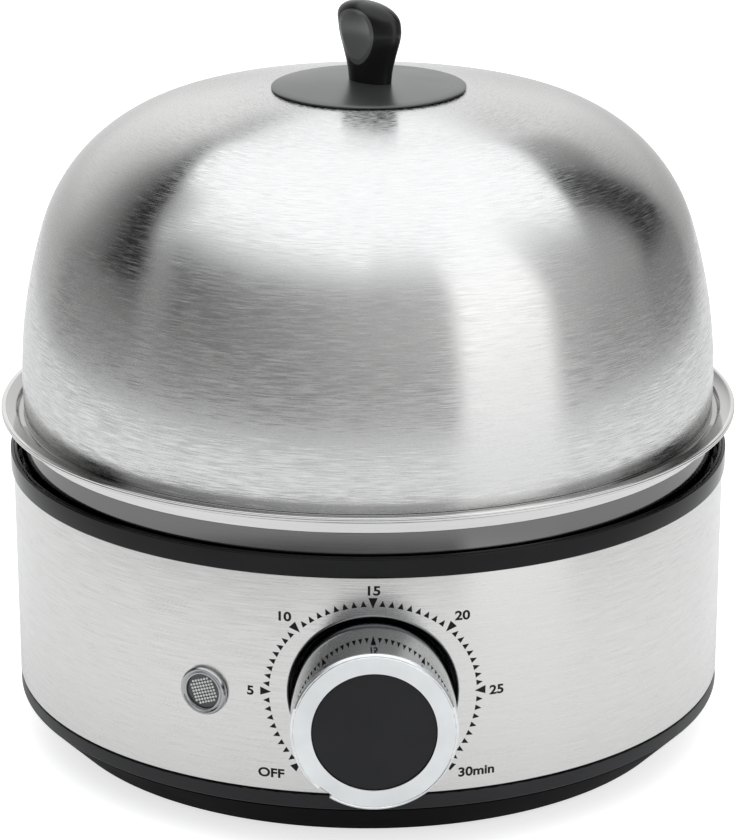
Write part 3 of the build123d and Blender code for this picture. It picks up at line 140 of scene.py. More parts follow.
studio = {
    "walls": (               # angle from the front, and how bright the room is there
        (-180, 1.12), (-158, 0.94), (-138, 0.66), (-122, 0.30), (-108, 0.12), (-103, 0.03), (-89, 0.02),
        (-82, 0.31), (-76, 0.30), (-68, 0.16), (-46, 0.24), (0, 0.46), (26, 0.56), (32, 1.38),
        (60, 1.34), (67, 0.58), (88, 0.44), (107, 0.39), (115, 0.12), (119, 0.03), (132, 0.03),
        (141, 0.52), (158, 0.76), (180, 1.12),
    ),
    "leanStart": 15.0,       # over this height the walls lean back on the left
    "lean": 2.05,
    "gapFill": (2.0, 12.5, 0.34),    # light in the dark gaps: full height, end height, level
    "skirting": (2.0, 13.0, 0.22),   # shade low on the walls, the same way
    "skirtingSpares": (0.9, 1.2, 1.0, 0.8),   # walls between these levels get this much of it
    "soffit": (26.0, 34.0, 0.45),    # shade high behind on the right: start height, full height, share
    "soffitSides": (104.0, 124.0, 162.0, 172.0),
    "ceiling": (1.3593, 1.38, 1.39656),
    "frontEdge": (25.0, 62.0),       # heights between which the ceiling begins in front
    "behind": (85.0, 105.0),         # where its edge turns into the arches
    "arch": (131.0, 45.0, 54.0, 46.5),        # its edge behind: middle, near and far half width, height
    "archLeft": (103.0, 131.0, 26.0, 2.5),    # between two angles, how soft the left arch's edge is
    "archRight": (88.0, 112.0, 16.0, 2.5),
    "archStart": 1.0,        # how far under its edge an arch begins
    "archLine": (7.0, 0.6),  # dark line inside the left arch: its width and share
    "lineSides": (122.0, 140.0),
    "floorSize": 4.0,        # metres from the middle to each side
    "floorTone": 0.78,
    "floorLift": 0.70,       # for the eye
    "floorGlow": 0.24,       # for reflections
    "paperEnd": (0.6696, 0.7704),    # metres: where reflections stop seeing the floor
}


def archEdge(tree, values, turned, leftSide):
    # How high the ceiling ends behind, and how soft its edge is
    middle, near, far, top = (math.radians(value) for value in values["arch"])
    half = remap(tree, calc(tree, "GREATER_THAN", turned, middle), 0.0, 1.0, near, far)
    aside = calc(tree, "DIVIDE", calc(tree, "SUBTRACT", turned, middle), half)
    risen = calc(tree, "SUBTRACT", 1.0, calc(tree, "MULTIPLY", aside, aside))
    edge = calc(tree, "MULTIPLY", calc(tree, "SQRT", calc(tree, "MAXIMUM", risen, 0.0)), top)
    angles = ([math.radians(value) for value in values[key]] for key in ("archLeft", "archRight"))
    left, right = (remap(tree, turned, *side) for side in angles)
    return edge, remap(tree, leftSide, 0.0, 1.0, right, left)


def wallLevel(tree, values, azimuth, height, leftSide):
    above = calc(tree, "MAXIMUM", calc(tree, "SUBTRACT", height, math.radians(values["leanStart"])), 0.0)
    lean = calc(tree, "MULTIPLY", calc(tree, "MULTIPLY", above, above), values["lean"])
    leaned = calc(tree, "MULTIPLY_ADD", lean, leftSide, azimuth)
    walls = addNode(tree, "ShaderNodeValToRGB", {0: calc(tree, "MULTIPLY_ADD", leaned, 0.5 / math.pi, 0.5)})
    ramp = walls.color_ramp
    while len(ramp.elements) < len(values["walls"]):
        ramp.elements.new(0.5)
    for element, (degrees, brightness) in zip(ramp.elements, values["walls"]):
        element.position = degrees / 360 + 0.5
        element.color = (brightness, brightness, brightness, 1)
    full, end, fill = values["gapFill"]
    level = calc(tree, "MAXIMUM", walls.outputs[0], fade(tree, height, full, end, fill, 0.0, smooth=True))
    spared = remap(tree, level, *values["skirtingSpares"])
    full, end, share = values["skirting"]
    level = darken(tree, level, fade(tree, height, full, end, share, 0.0, smooth=True), spared)
    start, full, share = values["soffit"]
    sides = values["soffitSides"]
    entering = fade(tree, azimuth, *sides[:2], 0.0, 1.0)
    leaving = fade(tree, azimuth, *sides[2:], 1.0, 0.0)
    return darken(tree, level, fade(tree, height, start, full, 0.0, share, smooth=True), entering, leaving)


def buildWorld(values):
    world = bpy.data.worlds.new("studioRoom")
    bpy.context.scene.world = world
    world.use_nodes = True
    tree = world.node_tree
    tree.nodes.clear()
    direction = addNode(tree, "ShaderNodeTexCoord").outputs["Generated"]
    parts = addNode(tree, "ShaderNodeSeparateXYZ", {0: direction})
    azimuth = calc(tree, "ARCTAN2", parts.outputs["X"], calc(tree, "MULTIPLY", parts.outputs["Y"], -1.0))
    height = calc(tree, "ARCSINE", parts.outputs["Z"])
    leftSide = calc(tree, "LESS_THAN", azimuth, 0.0)
    turned = calc(tree, "ABSOLUTE", azimuth)
    arch, softness = archEdge(tree, values, turned, leftSide)
    width, share = values["archLine"]
    line = fade(tree, calc(tree, "SUBTRACT", arch, height), 0.0, width, share, 0.0, smooth=True)
    level = wallLevel(tree, values, azimuth, height, leftSide)
    level = darken(tree, level, line, leftSide, fade(tree, turned, *values["lineSides"], 0.0, 1.0))
    behind = fade(tree, turned, *values["behind"], 0.0, 1.0)
    start, end = (math.radians(value) for value in values["frontEdge"])
    low = calc(tree, "SUBTRACT", arch, math.radians(values["archStart"]))
    low = remap(tree, behind, 0.0, 1.0, start, low)
    high = remap(tree, behind, 0.0, 1.0, end, calc(tree, "ADD", arch, softness))
    room = blendColour(tree, remap(tree, height, low, high, 0.0, 1.0, smooth=True), level, values["ceiling"])
    rays = addNode(tree, "ShaderNodeLightPath")
    shown = blendColour(tree, rays.outputs["Is Camera Ray"], room, (1.0, 1.0, 1.0))
    light = addNode(tree, "ShaderNodeBackground", {"Color": shown, "Strength": 1.0})
    addNode(tree, "ShaderNodeOutputWorld", {"Surface": light.outputs[0]})


def buildFloor(values):
    sheet = bmesh.new()
    bmesh.ops.create_grid(sheet, x_segments=8, y_segments=8, size=values["floorSize"])
    mesh = bpy.data.meshes.new("floorSheet")
    sheet.to_mesh(mesh)
    sheet.free()
    floor = bpy.data.objects.new("floorSheet", mesh)
    bpy.context.scene.collection.objects.link(floor)
    finish = bpy.data.materials.new("floorPaper")
    finish.use_nodes = True
    tree = finish.node_tree
    tree.nodes.clear()
    tone = values["floorTone"]
    paper = addNode(tree, "ShaderNodeBsdfDiffuse", {"Color": (tone, tone, tone, 1)})
    rays = addNode(tree, "ShaderNodeLightPath")
    direct = calc(tree, "MAXIMUM", rays.outputs["Is Camera Ray"], rays.outputs["Is Transmission Ray"])
    mirrored = rays.outputs["Is Glossy Ray"]
    lift = calc(tree, "MULTIPLY", direct, values["floorLift"])
    lift = calc(tree, "MULTIPLY_ADD", mirrored, values["floorGlow"], lift)
    glow = addNode(tree, "ShaderNodeEmission", {"Color": (1, 1, 1, 1), "Strength": lift})
    both = addNode(tree, "ShaderNodeAddShader", {0: paper.outputs[0], 1: glow.outputs[0]})
    spot = addNode(tree, "ShaderNodeTexCoord").outputs["Object"]
    away = addNode(tree, "ShaderNodeVectorMath", {0: spot}, operation="LENGTH").outputs["Value"]
    hidden = calc(tree, "MULTIPLY", remap(tree, away, *values["paperEnd"], 0.0, 1.0), mirrored)
    through = addNode(tree, "ShaderNodeBsdfTransparent")
    shown = addNode(tree, "ShaderNodeMixShader", {0: hidden, 1: both.outputs[0], 2: through.outputs[0]})
    addNode(tree, "ShaderNodeOutputMaterial", {"Surface": shown.outputs[0]})
    mesh.materials.append(finish)


buildWorld(studio)
buildFloor(studio)
print("studio built")


# Shader groups that several finishes share

def newGroup(name, inputs, outputs):
    tree = bpy.data.node_groups.new(name, "ShaderNodeTree")
    for label, kind, value in inputs:
        socket = tree.interface.new_socket(label, in_out="INPUT", socket_type=kind)
        if value is not None:
            socket.default_value = value
    for label, kind in outputs:
        tree.interface.new_socket(label, in_out="OUTPUT", socket_type=kind)
    return tree, tree.nodes.new("NodeGroupInput").outputs, tree.nodes.new("NodeGroupOutput").inputs


def buildBrushing():
    # Lines turned round the Z axis of the position it is given
    tree, given, out = newGroup(
        "turnedBrushing",
        (("Position", "NodeSocketVector", None), ("Length", "NodeSocketFloat", 9.0),
         ("Fineness", "NodeSocketFloat", 6500.0)),
        (("Grain", "NodeSocketFloat"), ("Bands", "NodeSocketFloat"), ("Scratches", "NodeSocketFloat")),
    )
    parts = addNode(tree, "ShaderNodeSeparateXYZ", {0: given["Position"]}).outputs
    flat, reach = distanceFromAxis(tree, parts)
    around = addNode(tree, "ShaderNodeVectorMath", {0: flat}, operation="NORMALIZE").outputs[0]
    across = calc(tree, "SUBTRACT", parts[2], reach)
    spokes = addNode(tree, "ShaderNodeSeparateXYZ", {0: around})

    def streaks(lengthShare, finenessShare, shift, detail):
        along = calc(tree, "MULTIPLY", given["Length"], lengthShare)
        pitch = calc(tree, "MULTIPLY", given["Fineness"], finenessShare)
        x = calc(tree, "MULTIPLY_ADD", spokes.outputs[0], along, shift)
        y = calc(tree, "MULTIPLY", spokes.outputs[1], along)
        z = calc(tree, "MULTIPLY", across, pitch)
        place = addNode(tree, "ShaderNodeCombineXYZ", {0: x, 1: y, 2: z}).outputs[0]
        noise = addNode(tree, "ShaderNodeTexNoise", {"Vector": place, "Scale": 1.0, "Detail": detail})
        return noise.outputs[0]

    tree.links.new(streaks(1.0, 1.0, 0.0, 2.0), out["Grain"])
    tree.links.new(streaks(0.6, 0.45, 31.0, 2.0), out["Bands"])
    thin = remap(tree, streaks(0.45, 1.25, 77.0, 1.0), 0.66, 0.74, 0.0, 1.0)
    tree.links.new(thin, out["Scratches"])
    return tree


def buildMoulded():
    # Fine skin of a moulded or cast surface, and slow changes of tone
    tree, given, out = newGroup(
        "mouldedSkin",
        (("Position", "NodeSocketVector", None), ("Fineness", "NodeSocketFloat", 2500.0)),
        (("Skin", "NodeSocketFloat"), ("Tone", "NodeSocketFloat")),
    )
    sizes = {"Vector": given["Position"], "Scale": given["Fineness"], "Detail": 2.0}
    fine = addNode(tree, "ShaderNodeTexNoise", sizes)
    slow = addNode(tree, "ShaderNodeTexNoise", {"Vector": given["Position"], "Scale": 45.0, "Detail": 4.0})
    tree.links.new(fine.outputs[0], out["Skin"])
    tree.links.new(slow.outputs[0], out["Tone"])
    return tree


def buildWear():
    # A mask along the edges, broken up so that it isn't even
    tree, given, out = newGroup(
        "edgeWear",
        (("Position", "NodeSocketVector", None), ("Width", "NodeSocketFloat", 0.0004)),
        (("Mask", "NodeSocketFloat"),),
    )
    rounded = addNode(tree, "ShaderNodeBevel", {"Radius": given["Width"]}, samples=4)
    surface = addNode(tree, "ShaderNodeNewGeometry")
    normals = {0: rounded.outputs[0], 1: surface.outputs["Normal"]}
    meeting = addNode(tree, "ShaderNodeVectorMath", normals, operation="DOT_PRODUCT").outputs["Value"]
    edge = remap(tree, meeting, 0.995, 0.90, 0.0, 1.0)
    chips = addNode(tree, "ShaderNodeTexNoise", {"Vector": given["Position"], "Scale": 900.0, "Detail": 3.0})
    broken = remap(tree, chips.outputs[0], 0.42, 0.62, 0.0, 1.0)
    tree.links.new(calc(tree, "MULTIPLY", edge, broken), out["Mask"])
    return tree


groups = {"brushing": buildBrushing(), "moulded": buildMoulded(), "wear": buildWear()}


def useGroup(tree, key, **inputs):
    made = tree.nodes.new("ShaderNodeGroup")
    made.node_tree = groups[key]
    for label, value in inputs.items():
        if isinstance(value, bpy.types.NodeSocket):
            tree.links.new(value, made.inputs[label])
        else:
            made.inputs[label].default_value = value
    return made.outputs


def startFinish(name):
    finish = bpy.data.materials.new(name)
    finish.use_nodes = True
    tree = finish.node_tree
    shader = tree.nodes["Principled BSDF"]
    position = addNode(tree, "ShaderNodeTexCoord").outputs["Object"]
    return finish, tree, shader, position


def scaled(tone, share, more=0.0):
    return tuple(min(1.0, value * share + more) for value in tone)


def within(tree, value, low, high):
    # One between two sizes in mm, and nothing outside them
    return calc(tree, "COMPARE", value, (low + high) / 2 * mm, (high - low) / 2 * mm)


def steelFinish(name, tone, roughness, anisotropy, length, fineness, grain=0.1, relief=0.03, spread=0.2,
                belts=(), calm=None, edge=1.0):
    # Sheet metal brushed round the Z axis. Belts are painted shade: parts of it darkened where shade falls,
    # as on the pan's neck under the lip and on its flange round the lid's foot: lowest and highest point,
    # inner and outer radius in mm, and how bright. Calm is the middle where the lines lose their direction:
    # its radius, where it ends, the share of the anisotropy that is left and how much rougher it is. Edge is
    # how bright it is where it is seen at a slant.
    finish, tree, shader, position = startFinish(name)
    brushing = useGroup(tree, "brushing", Position=position, Length=length, Fineness=fineness)
    banded = remap(tree, brushing["Bands"], 0.36, 0.64, 0.0, 1.0)
    colour = blendColour(tree, banded, scaled(tone, 1 - grain * 0.12), scaled(tone, 1 + grain * 0.08))
    grained = remap(tree, brushing["Grain"], 0.38, 0.72, 0.0, grain)
    colour = blendColour(tree, grained, colour, scaled(tone, 0.5))
    scratched = calc(tree, "MULTIPLY", brushing["Scratches"], grain)
    colour = blendColour(tree, scratched, colour, scaled(tone, 1.3))
    parts = addNode(tree, "ShaderNodeSeparateXYZ", {0: position}).outputs
    reach = distanceFromAxis(tree, parts)[1]
    # Painted shade: each belt blends the colour towards a darker tone where shade falls
    for low, high, inner, outer, brightness in belts:
        paintedShadeMask = calc(tree, "MULTIPLY", within(tree, parts[2], low, high), within(tree, reach, inner, outer))
        colour = blendColour(tree, paintedShadeMask, colour, scaled(tone, brightness))
    tree.links.new(colour, shader.inputs["Base Color"])
    rough = remap(tree, brushing["Grain"], 0.32, 0.68, roughness * (1 - spread), roughness * (1 + spread))
    rough = calc(tree, "MULTIPLY_ADD", brushing["Scratches"], roughness * spread, rough)
    shader.inputs["Anisotropic"].default_value = anisotropy
    if calm:
        inner, outer, share, extra = calm
        sides = (inner * mm, outer * mm)
        rough = calc(tree, "MULTIPLY", rough, remap(tree, reach, *sides, extra, 1.0, smooth=True))
        settled = remap(tree, reach, *sides, anisotropy * share, anisotropy, smooth=True)
        tree.links.new(settled, shader.inputs["Anisotropic"])
    tree.links.new(rough, shader.inputs["Roughness"])
    height = calc(tree, "MULTIPLY_ADD", brushing["Scratches"], -0.3, brushing["Grain"])
    bump = addNode(tree, "ShaderNodeBump", {"Strength": relief, "Distance": 0.00002, "Height": height})
    tree.links.new(bump.outputs[0], shader.inputs["Normal"])
    shader.inputs["Metallic"].default_value = 1.0
    shader.inputs["Anisotropic Rotation"].default_value = 0.25
    shader.inputs["Specular Tint"].default_value = (edge, edge, edge, 1)
    tangent = addNode(tree, "ShaderNodeTangent", direction_type="RADIAL", axis="Z")
    tree.links.new(tangent.outputs[0], shader.inputs["Tangent"])
    return finish


def skinnedFinish(name, tones, worn, wear, roughnesses, skin, relief):
    # What plastic and plain metal share: slow changes between two tones and two roughnesses, worn edges and a
    # fine skin
    finish, tree, shader, position = startFinish(name)
    moulded = useGroup(tree, "moulded", Position=position, Fineness=skin)
    mask = useGroup(tree, "wear", Position=position)["Mask"]
    varied = blendColour(tree, remap(tree, moulded["Tone"], 0.35, 0.65, 0.0, 1.0), *tones)
    edged = blendColour(tree, calc(tree, "MULTIPLY", mask, wear), varied, worn)
    tree.links.new(edged, shader.inputs["Base Color"])
    tree.links.new(remap(tree, moulded["Tone"], 0.35, 0.65, *roughnesses), shader.inputs["Roughness"])
    height = moulded["Skin"]
    bump = addNode(tree, "ShaderNodeBump", {"Strength": relief, "Distance": 0.00003, "Height": height})
    tree.links.new(bump.outputs[0], shader.inputs["Normal"])
    return finish, shader


def plasticFinish(name, tone, roughness, skin=2500.0, relief=0.15, wear=0.25, gloss=0.5):
    # Moulded plastic or rubber with paler worn edges
    tones = (tone, scaled(tone, 1.15, 0.004))
    roughnesses = (roughness * 0.9, roughness * 1.12)
    finish, shader = skinnedFinish(name, tones, scaled(tone, 1.4, 0.03), wear, roughnesses, skin, relief)
    shader.inputs["Specular IOR Level"].default_value = gloss
    return finish


def metalFinish(name, tone, roughness, skin=1800.0, relief=0.12):
    # Plain metal: stamped, drawn or plated, with a faint tarnish
    tones = (scaled(tone, 0.82), tone)
    roughnesses = (roughness * 0.85, roughness * 1.25)
    finish, shader = skinnedFinish(name, tones, scaled(tone, 1.15), 0.5, roughnesses, skin, relief)
    shader.inputs["Metallic"].default_value = 1.0
    return finish


# Colour, roughness and what else each finish needs

steels = {
    "lidSteel": ((0.725, 0.725, 0.72), 0.22, 0.84, 15.0, 4600.0,
                 dict(grain=0.11, spread=0.55, calm=(26.0, 40.0, 0.6, 1.3), edge=0.87)),
    "bandSteel": ((0.72, 0.715, 0.705), 0.24, 0.80, 10.0, 4200.0, dict(grain=0.07, relief=0.015)),
    # The pan's two belts are painted shade: on the neck under the lip and on the flange round the lid's foot
    "panSteel": ((0.70, 0.695, 0.69), 0.09, 0.3, 12.0, 4800.0,
                 dict(belts=((75.0, 82.38, 88.8, 92.0, 0.26), (85.0, 87.93, 88.8, 94.1, 0.62)))),
}
metals = {
    "edgeSteel": ((0.72, 0.72, 0.72), 0.16, dict(relief=0.03)),
    "knobChrome": ((0.84, 0.86, 0.87), 0.05, dict(relief=0.02)),
    # A darker copy of the knob's chrome: painted shade on the sleeve, which sits in the shadow of the opening
    "sleeveChrome": ((0.33, 0.34, 0.35), 0.05, dict(relief=0.02)),
    "lampChrome": ((0.48, 0.49, 0.50), 0.09, dict(relief=0.03)),
    "rackAluminium": ((0.76, 0.77, 0.78), 0.34, {}),
    "plateAluminium": ((0.62, 0.63, 0.64), 0.42, {}),
    "plainSteel": ((0.52, 0.52, 0.52), 0.36, {}),
    "darkSteel": ((0.17, 0.17, 0.18), 0.45, {}),
    "springSteel": ((0.20, 0.22, 0.27), 0.28, {}),
    "brass": ((0.72, 0.52, 0.22), 0.30, {}),
}
plastics = {
    "glossBlack": ((0.004, 0.004, 0.0045), 0.22, dict(skin=700.0, relief=0.04, wear=0.05, gloss=0.38)),
    "satinBlack": ((0.008, 0.008, 0.009), 0.30, dict(gloss=0.35)),
    "discBlack": ((0.034, 0.036, 0.036), 0.30, dict(gloss=1.0)),
    # One housing plastic in two copies: darker on the skirt and underside as painted shade, lighter on the
    # belt as painted light
    "housingBlack": ((0.002, 0.002, 0.0025), 0.42, dict(wear=0.0, gloss=0.012)),
    "beltBlack": ((0.014, 0.014, 0.016), 0.40, dict(wear=0.05, gloss=0.3)),
    "collarBlack": ((0.003, 0.003, 0.004), 0.12, dict(relief=0.03, wear=0.05, gloss=0.2)),
    "knobBlack": ((0.012, 0.012, 0.0135), 0.42, dict(skin=4000.0, gloss=0.25)),
    "printBlack": ((0.004, 0.004, 0.005), 0.45, dict(wear=0.0, gloss=0.2)),
    "padGrey": ((0.075, 0.076, 0.078), 0.22, dict(skin=5200.0, relief=0.12, wear=0.0, gloss=1.0)),
    "rubber": ((0.018, 0.018, 0.018), 0.75, dict(skin=3000.0, relief=0.4)),
    "lensWhite": ((0.80, 0.80, 0.80), 0.18, dict(relief=0.02, wear=0.0)),
    "lensSmoke": ((0.075, 0.077, 0.08), 0.12, dict(relief=0.02, wear=0.0)),
    "ceramic": ((0.72, 0.70, 0.65), 0.40, {}),
    "paleResin": ((0.58, 0.52, 0.40), 0.45, {}),
    "sleeving": ((0.62, 0.60, 0.56), 0.62, dict(skin=3500.0, relief=0.5, wear=0.0)),
}
finishes = {}
for makeFinish, recipes in ((steelFinish, steels), (metalFinish, metals), (plasticFinish, plastics)):
    for name, (*fixed, extra) in recipes.items():
        finishes[name] = makeFinish(name, *fixed, **extra)
print("finishes made:", len(finishes))


# Places that more than one piece uses

dialHeight = 41.8
lampHeight = 39.9
lampAngle = math.radians(-116)
lampDirection = (math.cos(lampAngle), math.sin(lampAngle), 0)


# Turned shapes: a profile of (radius, height) or (radius, height, rounding) in mm, spun round a local Z

def softProfile(corners, steps=5):
    points = []
    for index, corner in enumerate(corners):
        here = Vector(corner[:2])
        if len(corner) < 3 or corner[2] == 0:
            points.append(here)
            continue
        before = Vector(corners[index - 1][:2]) - here
        after = Vector(corners[(index + 1) % len(corners)][:2]) - here
        half = before.angle(after) / 2
        reach = min(corner[2] / math.tan(half), before.length * 0.49, after.length * 0.49)
        bend = reach * math.tan(half)
        middle = here + (before.normalized() + after.normalized()).normalized() * bend / math.sin(half)
        first = here + before.normalized() * reach - middle
        last = here + after.normalized() * reach - middle
        start = math.atan2(first.y, first.x)
        sweep = (math.atan2(last.y, last.x) - start + math.pi) % (2 * math.pi) - math.pi
        for step in range(steps + 1):
            angle = start + sweep * step / steps
            points.append(middle + bend * Vector((math.cos(angle), math.sin(angle))))
    return points


def arcPoints(middle, radius, start, end, steps):
    angles = [math.radians(start + (end - start) * step / steps) for step in range(steps + 1)]
    return [Vector((middle[0] + radius * math.cos(a), middle[1] + radius * math.sin(a))) for a in angles]


def rod(radius, start, end):
    return [(0, start), (radius, start), (radius, end), (0, end)]


def bridge(sheet, ring, other):
    # Faces between two rings of points, one of which may be a single point
    count = max(len(ring), len(other))
    for step in range(count):
        around = ((ring, step), (ring, step + 1), (other, step + 1), (other, step))
        corners = [points[index % len(points)] for points, index in around]
        sheet.faces.new(list(dict.fromkeys(corners)))


def spin(sheet, profile, segments=256, place=None):
    # Adds a turned solid to the bmesh, closed at the axis or round its own loop
    place = place or Matrix.Identity(4)
    rings = []
    for radius, height in profile:
        if radius < 1e-5:
            rings.append([sheet.verts.new(place @ Vector((0, 0, height * mm)))])
            continue
        ring = []
        for step in range(segments):
            angle = 2 * math.pi * step / segments
            spot = Vector((radius * math.cos(angle), radius * math.sin(angle), height)) * mm
            ring.append(sheet.verts.new(place @ spot))
        rings.append(ring)
    onAxis = len(rings[0]) == 1 and len(rings[-1]) == 1
    following = rings[1:] if onAxis else rings[1:] + rings[:1]
    for ring, other in zip(rings, following):
        if len(ring) > 1 or len(other) > 1:
            bridge(sheet, ring, other)
    return sheet


def facing(direction, origin=(0, 0, 0)):
    # Local Z along a level direction, local Y up
    outward = Vector(direction).normalized()
    up = Vector((0, 0, 1))
    side = up.cross(outward)
    turned = Matrix((side, up, outward)).transposed().to_4x4()
    return Matrix.Translation(Vector(origin) * mm) @ turned


def newObject(name, sheet):
    bmesh.ops.recalc_face_normals(sheet, faces=sheet.faces)
    mesh = bpy.data.meshes.new(name)
    sheet.to_mesh(mesh)
    sheet.free()
    made = bpy.data.objects.new(name, mesh)
    bpy.context.scene.collection.objects.link(made)
    return made


def carve(piece, sheet, operation="DIFFERENCE"):
    # Cuts the piece with another shape, and keeps the result as its mesh
    cutter = newObject("cutter", sheet)
    modifier = piece.modifiers.new("carve", "BOOLEAN")
    modifier.object = cutter
    modifier.operation = operation
    modifier.solver = "EXACT"
    view = bpy.context.evaluated_depsgraph_get()
    result = bpy.data.meshes.new_from_object(piece.evaluated_get(view))
    piece.modifiers.clear()
    old = piece.data
    piece.data = result
    bpy.data.meshes.remove(old)
    bpy.data.objects.remove(cutter)


def finishPiece(piece, body, slotName, finish, *nodes, sharpness=32):
    mesh = piece.data
    mesh.materials.clear()
    mesh.materials.append(finishes[finish])
    for polygon in mesh.polygons:
        polygon.use_smooth = True
    mesh.set_sharp_from_angle(angle=math.radians(sharpness))
    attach(piece, body)
    if nodes:
        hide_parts(*nodes)
    return piece


def turnedPiece(name, corners, body, slotName, finish, *nodes, segments=256, place=None, sharpness=32):
    sheet = spin(bmesh.new(), softProfile(corners), segments, place)
    return finishPiece(newObject(name, sheet), body, slotName, finish, *nodes, sharpness=sharpness)


# Lid

lid = {
    "wall": 0.8,
    "flank": ((-46.65, 93.8), 136.0, 0.0, 17.54, 18),   # middle, radius, first and last angle, steps
    "shoulder": ((40.22, 121.26), 44.9, 17.54, 78.47, 40),
    "crown": ((0.0, -75.88), 246.1, 78.47, 90.0, 14),
    "footHeight": 87.6,
    "footRounding": 0.25,
    "seatHeight": 86.8,
    "skirtRadius": 88.2,
    "skirtBottom": 80.0,
    "ventRadius": 2.2,       # steam hole at the back
    "ventAngle": 45.0,
    "ventCut": (40.0, 50.0),     # mm from the middle of the shoulder's bend
}


def buildLid(values):
    wall = values["wall"]
    outside = []
    inside = []
    for key in ("flank", "shoulder", "crown"):
        middle, radius, *sweep = values[key]
        begin = 1 if outside else 0
        outside += arcPoints(middle, radius, *sweep)[begin:]
        inside += arcPoints(middle, radius - wall, *sweep)[begin:]
    outer = outside[0].x
    skirt = values["skirtRadius"]
    corners = [
        (outer - wall, values["footHeight"] + wall), (skirt - wall, values["footHeight"]),
        (skirt - wall, values["skirtBottom"]), (skirt, values["skirtBottom"]),
        (skirt, values["seatHeight"]), (outer, values["seatHeight"], values["footRounding"]),
    ]
    foot = softProfile(corners, 4)
    outside[-1].x = inside[-1].x = 0
    profile = list(reversed(inside)) + foot + outside
    dome = newObject("domeShell", spin(bmesh.new(), profile, 320))
    angle = math.radians(values["ventAngle"])
    away = Vector((0, math.cos(angle), math.sin(angle)))
    start = Vector((0, *values["shoulder"][0]))
    side = Vector((1, 0, 0))
    place = Matrix.Translation(start * mm) @ Matrix((side, away.cross(side), away)).transposed().to_4x4()
    carve(dome, spin(bmesh.new(), rod(values["ventRadius"], *values["ventCut"]), 48, place))
    finishPiece(dome, "lid", "lid_steel", "lidSteel", "lid_dome")


buildLid(lid)
print("lid made")


# Steel band, with its openings and the turned-in edge round the knob

band = {
    "radius": 92.3,
    "wall": 0.7,
    "bottom": 16.2,
    "top": 72.1,
    "rounding": 0.25,
    "openingRadius": 19.95,
    "lipReach": 1.0,         # steel turned inwards round the opening
    "lipWall": 0.35,
    "lipSteps": 8,
    "lipSegments": 192,
    "lampRadius": 5.1,
    "inletRadius": 6.1,
    "inletHeight": 31.0,
    "cut": (60.0, 110.0),    # mm from the axis
}


def buildBand(values):
    outer, inner = values["radius"], values["radius"] - values["wall"]
    low, high, rounding = values["bottom"], values["top"], values["rounding"]
    corners = [(outer, low, rounding), (outer, high, rounding), (inner, high), (inner, low)]
    piece = newObject("bandShell", spin(bmesh.new(), softProfile(corners, 4), 360))
    opening = values["openingRadius"] + values["lipReach"]
    holes = (
        ((0, -1, 0), dialHeight, opening, values["lipSegments"]),
        (lampDirection, lampHeight, values["lampRadius"], 64),
        ((0, 1, 0), values["inletHeight"], values["inletRadius"], 64),
    )
    for direction, height, radius, segments in holes:
        place = facing(direction, (0, 0, height))
        carve(piece, spin(bmesh.new(), rod(radius, *values["cut"]), segments, place))
    finishPiece(piece, "base", "band_steel", "bandSteel", "steel_band")


def buildLip(values):
    # The front of the lip first, then its back
    reach, wall, last, around = (values[key] for key in ("lipReach", "lipWall", "lipSteps", "lipSegments"))
    steps = [(step, 0.0) for step in range(last + 1)] + [(step, wall) for step in range(last, -1, -1)]
    sheet = bmesh.new()
    rings = []
    for step, behind in steps:
        turn = step / last * math.pi / 2
        radius = values["openingRadius"] + reach * (1 - math.sin(turn)) + behind * math.sin(turn)
        depth = reach * (1 - math.cos(turn)) + behind * math.cos(turn)
        ring = []
        for spoke in range(around):
            angle = 2 * math.pi * spoke / around
            x, z = radius * math.cos(angle), radius * math.sin(angle)
            y = depth - math.sqrt(values["radius"] ** 2 - x * x)
            ring.append(sheet.verts.new(Vector((x, y, z + dialHeight)) * mm))
        rings.append(ring)
    for ring, other in zip(rings, rings[1:] + rings[:1]):
        bridge(sheet, ring, other)
    finishPiece(newObject("openingEdge", sheet), "base", "band_steel", "edgeSteel")


buildBand(band)
buildLip(band)
print("band made")


# Thin belt and skirt over the housing, with the crease between them; collar and pan

